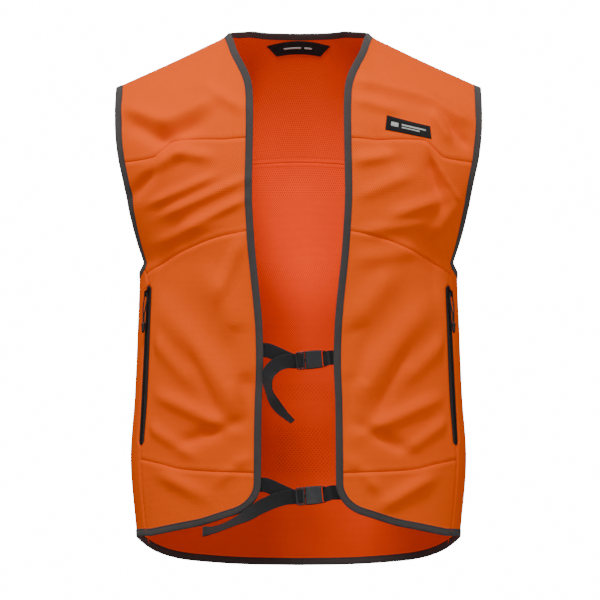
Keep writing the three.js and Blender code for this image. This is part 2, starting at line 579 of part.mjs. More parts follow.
// The tape runs in the plane of the teeth, then steps behind the panel edge and follows the skin.
function zipTape(side) {
  const [top, bottom] = [skin(-SIDE_SEAM, ZIP_TOP), skin(-SIDE_SEAM, ZIP_TOP - ZIP_LENGTH)];
  const behind = FABRIC / 2 + CLEARANCE + TAPE_THICK / 2 + 0.5;
  const reach = [CHAIN_WIDTH / 2 + CLEARANCE, sliderHalf + CLEARANCE, zipHalfOpening - 0.5,
    zipHalfOpening + 3, CHAIN_WIDTH / 2 + TAPE_WIDTH];
  const grid = gridOf(reach.length - 1, 10, (u, v) => {
    const level = lerp(ZIP_TOP - ZIP_LENGTH - STOP_LENGTH, ZIP_TOP + STOP_LENGTH, v);
    const i = Math.round(u * (reach.length - 1));
    const middle = bottom.clone().lerp(top, (level - ZIP_TOP + ZIP_LENGTH) / ZIP_LENGTH);
    const across = skin(-SIDE_SEAM - side, level).sub(skin(-SIDE_SEAM + side, level));
    const perDegree = across.length() / 2;
    if (i < 2) return middle.addScaledVector(across.normalize(), reach[i]);
    return inside(-SIDE_SEAM - (side * reach[i]) / perDegree, level, behind);
  });
  return sheet(grid, TAPE_THICK);
}
// A stop clamped across both rows, above or below the chain.
function zipStop(z) {
  const [w, t] = [CHAIN_WIDTH / 2, CHAIN_THICK / 2];
  return box(-w, w, -t, t, z, z + STOP_LENGTH - CLEARANCE);
}
// Two plates with turned lips, a thin divider between the rows and a bridge for the pull on the outer plate.
function zipSlider() {
  const [z0, z1] = [-SLIDER_LENGTH - CLEARANCE, -CLEARANCE];
  const parts = [];
  for (const face of [1, -1]) {
    const [near, far] = [face * channel, face * (channel + SLIDER_PLATE)].sort((a, b) => a - b);
    parts.push(box(-sliderHalf, sliderHalf, near, far, z0, z1));
    for (const edge of [1, -1]) {
      const [x0, x1] = [edge * (sliderHalf - SLIDER_LIP), edge * sliderHalf].sort((a, b) => a - b);
      const [y0, y1] = [face * (channel - 0.5), face * (channel + SLIDER_PLATE / 2)].sort((a, b) => a - b);
      parts.push(box(x0, x1, y0, y1, z0, z1));
    }
  }
  const divider = CHAIN_SPLIT / 2 - CLEARANCE / 2;
  parts.push(box(-divider, divider, -channel - 0.5, channel + 0.5, z1 - SLIDER_LENGTH / 2, z1));
  const deck = channel + SLIDER_PLATE;
  parts.push(box(-1, 1, deck - 0.3, deck + 4, z0 + 1.5, z0 + 2.7));
  parts.push(box(-1, 1, deck - 0.3, deck + 4, z1 - 2.7, z1 - 1.5));
  parts.push(box(-1, 1, deck + 2.9, deck + 4, z0 + 1.5, z1 - 1.5));
  return geometryOf(joined(...parts));
}
// Where the cord passes under the slider's bridge.
const bridge = { y: channel + SLIDER_PLATE + 1.5, z: -SLIDER_LENGTH / 2 - CLEARANCE };
const cordLift = CORD_DIAMETER / 2 + 0.6; // the cord's legs hang this far outside the bridge

// The pull's cord: a loop through the bridge whose two ends meet in the moulded end.
function pullCord() {
  const half = CORD_DIAMETER / 2;
  const leg = [[half + 0.15, cordLift, -CORD_DROP], [half + 0.3, cordLift + 0.3, -0.7 * CORD_DROP],
    [half + 1.6, cordLift, -0.55 * CORD_DROP], [3.4, 0, -6], [2.4, 0, -1]];
  const points = [...leg.map(([x, y, z]) => [-x, y, z]), [0, 0, 0], ...leg.reverse()]
    .map(([x, y, z]) => new THREE.Vector3(x, bridge.y + y, bridge.z + z));
  const route = new THREE.CatmullRomCurve3(points);
  const section = new THREE.Shape();
  section.absarc(0, 0, half - 0.3, 0, Math.PI * 2);
  return new THREE.ExtrudeGeometry(section, { steps: 40, curveSegments: 4, extrudePath: route });
}
// The moulded cord end, a tapered drop.
function pullTip() {
  const top = bridge.z - CORD_DROP - CLEARANCE;
  const r = TIP_WIDTH / 2;
  const profile = [[0, -TIP_LENGTH], [1.2, -TIP_LENGTH], [r - 0.5, -0.53 * TIP_LENGTH],
    [r, -0.2 * TIP_LENGTH], [r - 0.7, 0], [0, 0]];
  return new THREE.LatheGeometry(profile.map(([x, z]) => new THREE.Vector2(x, z)), 10)
    .rotateX(Math.PI / 2).translate(0, bridge.y + cordLift, top);
}
// The bag behind the front panel, sewn to the zip tape.
function pocketBag() {
  const behind = FABRIC / 2 + TAPE_THICK + FABRIC + 0.6;
  const grid = gridOf(6, 8, (u, v) => {
    const level = lerp(ZIP_TOP - ZIP_LENGTH - 8, ZIP_TOP + 6, v);
    return inside(lerp(BAG_REACH, 7, u) - SIDE_SEAM, level, behind);
  });
  return sheet(grid, FABRIC / 2);
}

// ---------------------------------------------------------------- side-release buckle and its webbing
// The buckle's own frame: X runs from the plug to the socket, Z is up and -Y faces out of the garment.
const buckleHalf = WEBBING / 2 + BUCKLE_WALL;
const slotHalf = WEBBING / 2 + 0.5;
const webHalf = WEBBING_THICK / 2;
const leftBar = [0, BAR];
const outerSlot = [BAR, BAR + SLOT];
const middleBar = [BAR + SLOT, 2 * BAR + SLOT];
const innerSlot = [2 * BAR + SLOT, 2 * BAR + 2 * SLOT];
const mouth = PLUG_FRAME + CLEARANCE;
const mouthHalf = WEBBING / 2 - 0.1; // half the mouth's height
const windowStart = mouth + MOUTH_WALL;
const overBar = -(BAR / 2 - 0.3 + CLEARANCE + webHalf); // depth of the webbing over the middle bar
const underBar = 0.1 + webHalf; // depth of the tail behind the outer bar
const underTail = underBar + WEBBING_THICK + CLEARANCE; // depth of the anchored strap behind the tail
const middleOf = ([a, b]) => (a + b) / 2;

function plugFrame() {
  const r = 2.5;
  const outline = [[0, -buckleHalf + r], [r, -buckleHalf], [PLUG_FRAME, -buckleHalf],
    [PLUG_FRAME, buckleHalf], [r, buckleHalf], [0, buckleHalf - r]];
  const body = solidOf(plate(outline, -2.6, 2.6, 0.6));
  const tip = PLUG_FRAME + GUIDE_LENGTH;
  const guide = plate([[PLUG_FRAME - 1, -GUIDE / 2], [tip, -GUIDE / 2 + 0.8], [tip, GUIDE / 2 - 0.8],
    [PLUG_FRAME - 1, GUIDE / 2]], -1.2, 1.2);
  const web = webHalf + CLEARANCE;
  const windows = [
    box(outerSlot[0], outerSlot[1], -9, 9, -slotHalf, slotHalf),
    box(innerSlot[0], innerSlot[1], -9, 9, -slotHalf, slotHalf),
    box(middleBar[0] - 0.1, middleBar[1] + 0.1, -9, -(BAR / 2 - 0.3), -slotHalf, slotHalf),
    box(middleBar[0] - 0.1, middleBar[1] + 0.1, BAR / 2 - 0.3, 9, -slotHalf, slotHalf),
    box(-1, leftBar[1] + 0.1, underBar - web, 9, -slotHalf, slotHalf),
  ];
  return geometryOf(cut(body, ...windows).add(solidOf(guide)));
}
const armInner = mouthHalf - 0.5 - ARM_ROOT;
// One sprung arm with its latch; side is 1 for the top arm and -1 for the bottom one.
function plugArm(side) {
  const top = mouthHalf - 0.5;
  const latch = mouthHalf + LATCH;
  const start = PLUG_FRAME + 0.25;
  const head = windowStart + 1.5;
  const end = start + ARM_LENGTH;
  const outline = [[start, armInner], [start + 6, armInner + 0.5], [end - 3, armInner - 0.6],
    [end, armInner + 0.6], [end, top - 1.6], [end - 2.5, top + 1.2], [head + 3.2, latch + 1],
    [head, latch], [head, top], [start, top]];
  const turned = side > 0 ? outline : outline.map(([x, z]) => [x, -z]).reverse();
  return plate(turned, -ARM_THICK / 2, ARM_THICK / 2);
}
function socket() {
  const end = mouth + SOCKET_LENGTH;
  const rear = WEBBING / 2 + 0.9;
  const side = new THREE.QuadraticBezierCurve(new THREE.Vector2(mouth + 8, buckleHalf + 0.3),
    new THREE.Vector2(end - 8, buckleHalf + 0.2), new THREE.Vector2(end, rear));
  const upper = [[mouth, buckleHalf], ...side.getPoints(5).map((p) => [p.x, p.y])];
  const outline = [...upper, ...upper.map(([x, z]) => [x, -z]).reverse()];
  const body = solidOf(plate(outline.reverse(), -BUCKLE_THICK / 2, BUCKLE_THICK / 2, 1.2));
  const c = CAVITY_DEPTH / 2;
  const bar = end - BAR;
  const cuts = [box(mouth - 1, mouth + CAVITY_LENGTH, -c, c, -mouthHalf, mouthHalf),
    box(windowStart, mouth + CAVITY_LENGTH - 1.5, -c, c, -20, 20),
    box(bar - SLOT - 0.6, bar, -9, 9, -slotHalf, slotHalf),
    box(bar - 0.1, end + 1, -9, -BAR / 2, -slotHalf, slotHalf),
    box(bar - 0.1, end + 1, BAR / 2, 9, -slotHalf, slotHalf)];
  return geometryOf(cut(body, ...cuts));
}

// A buckle at a strap's height, with its pieces in the buckle's own frame.
function buckleFrame(strap) {
  const group = new THREE.Group();
  const edge = skin(angleOf(frontEdge(strap.buckle), strap.buckle), strap.buckle);
  group.position.set(BUCKLE_X, edge.y + BINDING_HALF + CLEARANCE + webHalf + 0.6 - underTail, strap.buckle);
  group.rotation.y = -rad(BUCKLE_TILT);
  group.updateMatrix();
  return group;
}
// Stations of webbing whose path is given in a frame as [x, y, z], with its width along the frame's Z.
const upright = new THREE.Vector3(0, 0, 1);
function flatWeb(points) {
  const stations = stationsAlong(points.map((p) => new THREE.Vector3(...p)), () => upright);
  return band(stations, WEBBING, WEBBING_THICK);
}

// The strap sewn behind the front edge on one side (-1 right, 1 left), up to a point in its buckle's frame.
function sewnEnd(side, height, frame) {
  const toFrame = frame.matrix.clone().invert();
  const edgeX = frontEdge(height);
  return [STRAP_TUCK, STRAP_TUCK / 2, 2, -6].map((past) => {
    const out = skin(angleOf(edgeX + Math.max(past, 0), height), height);
    const inward = BINDING_HALF + CLEARANCE + webHalf + 0.6;
    return new THREE.Vector3(side * (edgeX + past), out.y + inward, height).applyMatrix4(toFrame).toArray();
  });
}
function strapAnchor(strap, frame) {
  const end = middleOf(innerSlot) + webHalf;
  return flatWeb([...sewnEnd(-1, strap.right, frame), [-2, underTail, 0], [end, underTail, 0]]);
}
// The doubled strap through the socket's rear bar.
function strapLoop(strap, frame) {
  const bar = mouth + SOCKET_LENGTH - BAR;
  const slot = bar - CLEARANCE - webHalf;
  const depth = BAR / 2 + CLEARANCE + webHalf;
  const front = sewnEnd(1, strap.left, frame);
  const back = front.map(([x, y, z]) => [x, y + WEBBING_THICK + CLEARANCE, z]);
  const turn = [[bar + 3.5, depth, 0], [slot, depth, 0], [slot, -depth, 0], [bar + 3.5, -depth, 0]];
  return flatWeb([...back, ...turn, ...front.reverse()]);
}
// The strap's free end: up through the inner slot, over the middle bar, down and out behind the outer bar.
function strapTail(route) {
  const wrap = [[middleOf(innerSlot), underTail - webHalf - CLEARANCE, 0], [middleOf(innerSlot), overBar, 0],
    [middleOf(outerSlot), overBar, 0], [middleOf(outerSlot), underBar, 0], [-1.5, underBar, 0]];
  const points = wrap.map((p) => new THREE.Vector3(...p));
  const widths = wrap.map(() => upright);
  const [places, turns] = ["at", "width"].map((key) => route.map((row) => new THREE.Vector3(...row[key])));
  const curve = new THREE.CatmullRomCurve3([points.at(-1), ...places]);
  const twist = new THREE.CatmullRomCurve3([upright, ...turns]);
  const n = 18;
  for (let i = 1; i <= n; i++) {
    points.push(curve.getPoint(i / n));
    widths.push(twist.getPoint(i / n).normalize());
  }
  return band(stationsAlong(points, (i) => widths[i]), WEBBING, WEBBING_THICK);
}
// Where each tail goes, in its buckle's frame: points down its middle and the direction of its width.
const UPPER_TAIL = [
  { at: [-12, -4.6, 1], width: [0, 0.08, 1] }, { at: [-25, -12, -2], width: [-0.2, 0.25, 1] },
  { at: [-36, -15, -10], width: [-0.75, 0.35, 0.7] }, { at: [-41, -17, -22], width: [-0.8, 0.75, 0.15] },
  { at: [-40, -16, -38], width: [-0.55, 0.9, -0.1] }, { at: [-34, -15, -54], width: [-0.7, 0.65, -0.1] },
  { at: [-24, -14, -69], width: [-0.8, 0.5, 0.35] }, { at: [-11, -13, -83], width: [-0.75, 0.25, 0.65] },
];
const LOWER_TAIL = [
  { at: [-14, -3, 0], width: [0, 0, 1] }, { at: [-30, -11, -3], width: [0, 0.15, 1] },
  { at: [-48, -16.5, -9], width: [0.1, 0.3, 0.95] }, { at: [-68, -17.5, -19], width: [0.2, 0.5, 0.85] },
  { at: [-88, -16.5, -27], width: [0.25, 0.8, 0.6] }, { at: [-106, -15, -33], width: [0.15, 0.88, 0.48] },
  { at: [-121, -13.5, -36], width: [0.05, 0.85, 0.5] }, { at: [-132, -12, -36.5], width: [0, 0.75, 0.66] },
];

// ---------------------------------------------------------------- labels
function chestLabel() {
  const level = 0.806 * BODY_LENGTH;
  const x = 152;
  const spot = skin(angleOf(x, level), level);
  const across = skin(angleOf(x + 20, level), level).sub(skin(angleOf(x - 20, level), level)).normalize();
  const up = skin(angleOf(x, level + 8), level + 8).sub(skin(angleOf(x, level - 8), level - 8));
  up.addScaledVector(across, -up.dot(across)).normalize();
  const out = across.clone().cross(up);
  const [w, h] = [LABEL_WIDTH / 2, LABEL_HEIGHT / 2];
  const outline = [[-w, -h], [w, -h], [w - 4, h], [-w, h]];
  const shape = new THREE.Shape(outline.map(([a, b]) => new THREE.Vector2(a, b)));
  const lift = FABRIC / 2 + CLEARANCE + 1.6; // the flat label's ends stand off the curved chest
  spot.addScaledVector(out, lift);
  return new THREE.ExtrudeGeometry(shape, { depth: LABEL_THICK, bevelEnabled: false })
    .applyMatrix4(new THREE.Matrix4().makeBasis(across, up, out))
    .translate(spot.x, spot.y, spot.z);
}
// The size label hangs inside the back neck, from just under the binding.
function neckLabel() {
  const top = backNeck(0) - BINDING_WIDTH * 0.62;
  const grid = gridOf(8, 2, (u, v) => {
    const level = lerp(top - NECK_LABEL.height * 0.72, top, v);
    const x = (0.5 - u) * lerp(NECK_LABEL.bottom, NECK_LABEL.top, v);
    const at = skin(180 - angleOf(x, level), level);
    const inward = FABRIC / 2 + LABEL_THICK / 2 + CLEARANCE;
    return at.add(new THREE.Vector3(0, -inward * 1.1, -inward * 0.9));
  });
  return sheet(grid, LABEL_THICK);
}

// ---------------------------------------------------------------- assembly
const vest = new THREE.Group();
const garment = new THREE.Group();
const nape = skin(180, backNeck(0));
garment.position.set(0, -nape.y, -nape.z);
vest.add(garment);

function addHalf(name, mirror) {
  const half = new THREE.Group();
  half.scale.x = mirror;
  const put = (part, geometry, material) => half.add(node(`${name}_${part}`, geometry, material));
  put("front_yoke", frontYoke(), materials.orange);
  put("front_chest_panel", frontChest(), materials.orange);
  put("front_lower_panel", frontLower(), materials.orange);
  put("front_hem_panel", frontHemPanel(), materials.orange);
  put("side_panel", sidePanel(), materials.orange);
  put("front_binding", frontBinding(), materials.binding);
  put("armhole_binding", armholeBinding(), materials.binding);
  garment.add(half);

  const pocket = new THREE.Group();
  pocket.scale.x = -mirror; // the zip is laid out on the wearer's right
  const frame = zipFrame();
  pocket.add(frame);
  pocket.add(node(`${name}_pocket_bag`, pocketBag(), materials.orange));
  pocket.add(node(`${name}_zip_tape_front`, zipTape(-1), materials.zip));
  pocket.add(node(`${name}_zip_tape_side`, zipTape(1), materials.zip));
  const fit = (part, geometry, material) => frame.add(node(`${name}_${part}`, geometry, material));
  fit("zip_teeth_front", zipRow(-1), materials.zip);
  fit("zip_teeth_side", zipRow(1), materials.zip);
  fit("zip_top_stop", zipStop(CLEARANCE), materials.slider);
  fit("zip_bottom_stop", zipStop(-ZIP_LENGTH - STOP_LENGTH), materials.slider);
  fit("zip_slider", zipSlider(), materials.slider);
  fit("pull_cord", pullCord(), materials.webbing);
  fit("pull_end", pullTip(), materials.plastic);
  garment.add(pocket);
}
addHalf("right", -1);
addHalf("left", 1);

garment.add(node("back_yoke", backYoke(), materials.orange));
garment.add(node("back_body", backBody(), materials.orange));
garment.add(node("back_neck_binding", neckBinding(), materials.binding));
garment.add(node("back_hem_binding", backHemBinding(), materials.binding));
garment.add(node("neck_label", neckLabel(), materials.label));
garment.add(node("chest_label", chestLabel(), materials.label));

function addStrap(name, strap, tail) {
  const frame = buckleFrame(strap);
  const put = (part, geometry, material) => frame.add(node(`${name}_${part}`, geometry, material));
  put("buckle_plug", plugFrame(), materials.plastic);
  put("plug_arm_top", plugArm(1), materials.plastic);
  put("plug_arm_bottom", plugArm(-1), materials.plastic);
  put("buckle_socket", socket(), materials.plastic);
  put("strap_right", strapAnchor(strap, frame), materials.webbing);
  put("strap_left", strapLoop(strap, frame), materials.webbing);
  put("strap_tail", strapTail(tail), materials.webbing);
  garment.add(frame);
}
addStrap("upper", UPPER_STRAP, UPPER_TAIL);
addStrap("lower", LOWER_STRAP, LOWER_TAIL);

export default vest;
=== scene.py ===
# %% [markdown]
# # A blaze orange field vest, built as cloth
# The vest is a shell of open knit fabric, bound in charcoal tape and closed by two webbing straps. Its
# frame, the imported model, gives every panel, strap and buckle its place. This lesson puts the cloth on
# that frame: each panel is worked out as a function of two parameters on one shared surface, so that
# neighbours meet along their seams.

# %% Load the frame
import math

import bmesh
import bpy
import numpy as np
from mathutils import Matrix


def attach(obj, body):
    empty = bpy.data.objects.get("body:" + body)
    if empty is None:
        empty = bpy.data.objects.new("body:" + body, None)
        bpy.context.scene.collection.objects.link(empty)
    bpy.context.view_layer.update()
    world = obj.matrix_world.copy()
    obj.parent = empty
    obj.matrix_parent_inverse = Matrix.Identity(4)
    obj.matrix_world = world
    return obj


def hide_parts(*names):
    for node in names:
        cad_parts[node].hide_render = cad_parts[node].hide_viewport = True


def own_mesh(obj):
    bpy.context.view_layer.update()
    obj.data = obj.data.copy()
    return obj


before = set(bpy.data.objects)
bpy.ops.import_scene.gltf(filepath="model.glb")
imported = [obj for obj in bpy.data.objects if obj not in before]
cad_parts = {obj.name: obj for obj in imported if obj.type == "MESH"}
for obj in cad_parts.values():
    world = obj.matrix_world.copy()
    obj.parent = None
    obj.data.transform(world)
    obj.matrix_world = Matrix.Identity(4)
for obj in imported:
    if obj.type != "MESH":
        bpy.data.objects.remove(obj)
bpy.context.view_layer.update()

# %% [markdown]
# ## The garment's sizes
# A pattern cutter works from a few lengths. They are written here once, in millimetres above the lowest
# point of the back hem, and every surface below is computed from them. Only the last step turns
# millimetres into metres.

# %% Sizes
BODY_LENGTH = 750.0
CHEST_WIDTH = 442.0
CHEST_DEPTH = 250.0
NECK_HALF_WIDTH = 96.0
FRONT_HALF_GAP = 50.0
HEM_CORNER = 38.0
SHOULDER_START = 0.693 * BODY_LENGTH
RIDGE_LEVEL = 0.933 * BODY_LENGTH
ROUNDING = 2.2
SIDE_SEAM = 70.0
UNDERARM_ANGLE = 76.0
TAPE = 10.0
ZIP_TOP, ZIP_BOTTOM = 388.0, 178.0
ZIP_HALF_OPENING = 6.3
BACK_YOKE_SEAM = 0.735 * BODY_LENGTH
SIDE_SIGN = {"right": -1, "left": 1}  # the sign of x on the wearer's right and left

# %% [markdown]
# ## Smooth curves through a few points
# Seams and edges are drawn through a handful of measured points. A cubic that takes each point's slope
# from its two neighbours passes through all of them without ringing, and it works on whole arrays at
# once.

# %% Curves through points
def through(rows):
    """A smooth function through (input, value) rows: a cubic between each pair, level beyond the ends."""
    t, v = np.array(rows, float).T
    i = np.arange(len(t))
    before, after = np.maximum(i - 1, 0), np.minimum(i + 1, len(t) - 1)
    slope = (v[after] - v[before]) / (t[after] - t[before])

    def value(x):
        x = np.clip(x, t[0], t[-1])
        k = np.clip(np.searchsorted(t, x, side="right") - 1, 0, len(t) - 2)
        width = t[k + 1] - t[k]
        s = (x - t[k]) / width
        p, q, mp, mq = v[k], v[k + 1], slope[k] * width, slope[k + 1] * width
        return p + s * (mp + s * (3 * (q - p) - 2 * mp - mq + s * (mp + mq - 2 * (q - p))))

    return value


def tall(rows, scale):
    """Rows whose inputs are shares of the body length and whose values are shares of scale."""
    return [(h * BODY_LENGTH, v * scale) for h, v in rows]


def lerp(a, b, t):
    """The straight mix a + (b - a) t."""
    return a + (b - a) * t


def smooth(a, b, t):
    """Rises smoothly from 0 at a to 1 at b: 3 s squared - 2 s cubed."""
    s = np.clip((t - a) / (b - a), 0, 1)
    return s * s * (3 - 2 * s)


half_width = through(tall([
    (0, .5), (.075, .512), (.2, .529), (.32, .516), (.44, .507), (.56, .5), (.575, .504), (.6, .525),
    (.633, .556), (.667, .59), (.707, .627), (.745, .66), (.8, .7), (.86, .73), (.933, .758)], CHEST_WIDTH))
front_depth = through(tall([
    (0, .47), (.2, .47), (.4, .476), (.55, .5), (.68, .51), (.933, .47)], CHEST_DEPTH))
back_depth = through(tall([
    (0, .49), (.2, .47), (.4, .44), (.55, .46), (.72, .49), (.933, .47)], CHEST_DEPTH))
ridge_height = through([(x * NECK_HALF_WIDTH, z * BODY_LENGTH) for x, z in (
    (-.62, 1.033), (0, 1.053), (.62, 1.033), (.95, 1), (1.09, .985), (1.31, .971), (1.8, .941),
    (2.65, .892))])
front_edge = through(tall([
    (0, 1.06), (.18, 1.04), (.31, 1.02), (.38, .98), (.447, 1), (.49, 1.05), (.535, 1.12), (.58, 1.19),
    (.624, 1.24), (.69, 1.29), (.76, 1.27), (.81, 1.26), (.836, 1.29), (.853, 1.37), (.875, 1.54),
    (.896, 1.7), (.92, 1.83), (.933, NECK_HALF_WIDTH / FRONT_HALF_GAP)], FRONT_HALF_GAP))
front_hem = through([(x * FRONT_HALF_GAP, z) for x, z in (
    (.9, 84), (1.7, 77), (2.65, 62), (3.3, 55), (4.1, 46))])
back_hem = through([
    (SIDE_SEAM, 46), (90, 43), (101, 37), (118, 20), (130, 11), (142, 6), (160, 1.5), (180, 0)])
yoke_seam = through([(u, h * BODY_LENGTH) for u, h in (
    (0, .768), (.49, .789), (.563, .787), (.63, .774), (.69, .764), (1, .761))])
chest_seam = through([(u, h * BODY_LENGTH) for u, h in (
    (0, .627), (.23, .613), (.49, .588), (.74, .564), (1, .546))])
hem_seam = through([(0, 134), (.5, 138), (.74, 146), (1, 152)])
back_neck = through([(x * NECK_HALF_WIDTH, h * BODY_LENGTH) for x, h in (
    (-.25, .8975), (0, .895), (.25, .8975), (.5, .904), (.75, .916), (.9, .9265), (1, .933))])
UNDERARM = float(lerp(chest_seam(1), yoke_seam(1), 0.1))
underarm_x = float(half_width(UNDERARM) * math.sin(math.radians(UNDERARM_ANGLE)))
armhole_x = through([(UNDERARM, underarm_x)] + tall([
    (.607, .508), (.64, .523), (.68, .538), (.72, .55), (.773, .566), (.827, .575), (.88, .577),
    (.933, .575)], CHEST_WIDTH))
seam_angle = through([(ZIP_TOP + 8, SIDE_SEAM), (UNDERARM, UNDERARM_ANGLE)])
print(f"the underarm is {UNDERARM:.0f} mm above the back hem")

# %% [markdown]
# ## The skin
# The whole garment lies on one surface, addressed by an angle round the body (0 at the centre front, 90
# at the wearer's left side, 180 at the centre back) and a height measured along the cloth. Below the
# shoulders a section is an ellipse. Above, it closes over a ridge along a superellipse, whose own angle
# serves as the height: that keeps the spacing of rows even where the cloth turns over the top.

# %% The skin
RISE = 239.0  # length of cloth from the start of the shoulder to its ridge
TOP = SHOULDER_START + RISE


def turn_of(height):
    """Angle round the shoulder's superellipse: 0 where it starts, a quarter turn on the ridge."""
    return np.clip((height - SHOULDER_START) / RISE, 0, 1) * math.pi / 2


def level_of(height):
    """Level of a height: the height itself, then start + (ridge - start) sin(turn)^(2/rounding)."""
    above = SHOULDER_START + (RIDGE_LEVEL - SHOULDER_START) * np.sin(turn_of(height)) ** (2 / ROUNDING)
    return np.where(height < SHOULDER_START, height, above)


def height_of(level):
    """Height of a level, the inverse of level_of."""
    share = np.clip((level - SHOULDER_START) / (RIDGE_LEVEL - SHOULDER_START), 0, 1)
    above = SHOULDER_START + RISE * np.arcsin(share ** (ROUNDING / 2)) / (math.pi / 2)
    return np.where(level < SHOULDER_START, level, above)


def skin(angle, height):
    """The place on the skin: x = half width sin a, y = -depth cos a cos(turn)^(2 / rounding).
    z is the level, and above the shoulder's start the mix of that start and the ridge."""
    angle = (np.asarray(angle, float) + 180) % 360 - 180
    height = np.minimum(height, TOP)
    level = level_of(height)
    a = np.radians(angle)
    x = half_width(level) * np.sin(a)
    depth = np.where(np.abs(angle) > 90, back_depth(level), front_depth(level))
    close = np.cos(turn_of(height)) ** (2 / ROUNDING)
    climb = np.clip((level - SHOULDER_START) / (RIDGE_LEVEL - SHOULDER_START), 0, 1)
    z = np.where(climb > 0, lerp(SHOULDER_START, ridge_height(np.abs(x)), climb), level)
    return np.stack(np.broadcast_arrays(x, -depth * np.cos(a) * close, z), -1)


def angle_of(x, level):
    """The angle at which the skin is a distance x from the centre plane: asin(x / half width)."""
    return np.degrees(np.arcsin(np.clip(x / half_width(level), -1, 1)))


def outer_angle(level):
    """Where a front ends: the side seam below the underarm, the armhole's edge above it."""
    return np.where(level < UNDERARM, seam_angle(level), angle_of(armhole_x(level), level))


def unit(v):
    """Vectors divided by their own length."""
    return v / np.maximum(np.linalg.norm(v, axis=-1, keepdims=True), 1e-9)


def outward(angle, height):
    """The skin's outward direction: the cross product of its steps round and up."""
    height = np.minimum(height, TOP - 1.0)
    around = skin(angle + 0.4, height) - skin(angle - 0.4, height)
    up = skin(angle, height + 0.8) - skin(angle, height - 0.8)
    return unit(np.cross(around, up))

# %% [markdown]
# ## How the cloth drapes
# Nothing here is stuffed: the fabric hangs from the shoulders and swells or falls in by a few
# millimetres. Each fold is a soft ridge along a line, highest in its middle, and a hollow is a ridge
# turned inwards. All the pieces read the same drape, so a seam or a binding rises and falls with the
# cloth on both sides of it. The zips, and the places where the webbing crosses, stay flat.

# %% Folds
# Each row: x and level of both ends, spread across, rise, all in millimetres.
# x is positive on the wearer's left.
FRONT_FOLDS = [
    (-236, 640, -185, 620, 11, 2.3), (-185, 620, -122, 649, 12, 2.5), (-228, 616, -186, 592, 11, -1.8),
    (-186, 594, -140, 616, 11, -1.8), (-208, 552, -165, 578, 9, 2.2), (-165, 578, -128, 572, 9, 1.8),
    (-203, 508, -118, 544, 7, 1.6), (-185, 491, -76, 540, 7, 1.6), (-162, 470, -76, 512, 7, 1.5),
    (-226, 520, -196, 560, 9, -2.0), (-190, 455, -120, 480, 9, 1.2), (-128, 668, -80, 640, 9, 1.4),
    (-110, 380, -80, 455, 10, 1.6), (-165, 470, -190, 380, 18, -1.6), (-175, 350, -75, 215, 20, 2.4),
    (-80, 330, -70, 210, 16, -1.6), (-190, 240, -95, 195, 11, 1.9), (-160, 175, -80, 205, 10, -1.7),
    (-120, 400, -85, 330, 20, 1.8), (-185, 130, -120, 95, 11, 1.9), (-110, 120, -75, 150, 10, 1.5),
    (-200, 320, -150, 260, 12, 1.5), (-210, 200, -150, 160, 9, 1.3), (-150, 300, -110, 210, 9, -1.2),
    (85, 678, 173, 657, 9, 1.9), (173, 657, 233, 622, 9, 2.2), (83, 650, 134, 636, 8, 1.5),
    (186, 630, 207, 600, 8, 2.2), (210, 612, 232, 590, 8, -1.8), (174, 594, 205, 540, 3.2, 0.8),
    (205, 540, 222, 512, 3.2, 0.8), (85, 567, 127, 574, 9, 1.7), (182, 563, 200, 508, 9, -2.4),
    (134, 492, 205, 516, 10, 1.8), (90, 520, 150, 545, 10, 1.2), (95, 470, 170, 480, 9, 1.2),
    (215, 505, 190, 470, 9, 1.5), (110, 600, 140, 560, 12, -1.2),
    (170, 460, 195, 380, 15, -1.7), (170, 360, 80, 240, 20, 2.4), (85, 330, 70, 215, 14, -1.6),
    (190, 235, 90, 190, 11, 1.9), (150, 165, 85, 200, 10, -1.7), (125, 405, 80, 345, 18, 1.8),
    (180, 125, 120, 90, 11, 1.9), (105, 115, 75, 145, 10, 1.5), (205, 320, 150, 265, 12, 1.5),
    (205, 205, 150, 165, 9, 1.3), (150, 305, 110, 220, 9, -1.2), (90, 430, 150, 440, 12, 1.2),
]
BACK_FOLDS = [
    (-150, 520, -40, 330, 30, 3.5), (140, 500, 60, 300, 28, 3.5), (-120, 300, -60, 120, 26, -3.0),
    (110, 280, 90, 90, 24, 3.0), (-20, 240, 30, 60, 30, -2.5), (-175, 180, -150, 60, 18, 3.0),
    (180, 200, 150, 70, 18, -2.5), (0, 560, 20, 430, 34, 2.0), (-90, 660, -120, 570, 20, 2.5),
    (95, 650, 120, 575, 20, 2.5),
]
FOLD_STRENGTH = 3.4  # every rise in the rows is multiplied by this
STRAP_LEVELS = (298, 112)  # the middle of the webbing, upper and lower


def ridges(x, z, folds):
    """The sum of rise exp(-(distance / spread) squared) over the folds, eased down at their ends."""
    x, z = np.broadcast_arrays(x, z)
    total = np.zeros(x.shape)
    for x0, z0, x1, z1, spread, rise in folds:
        dx, dz = x1 - x0, z1 - z0
        length = math.hypot(dx, dz)
        along = ((x - x0) * dx + (z - z0) * dz) / length
        across = ((x - x0) * dz - (z - z0) * dx) / length
        beyond = np.maximum(np.abs(along - length / 2) - length * 0.3, 0)
        fade = (across / spread) ** 2 + (beyond / (0.16 * length + spread)) ** 2
        total += FOLD_STRENGTH * rise * np.exp(-fade)
    return total


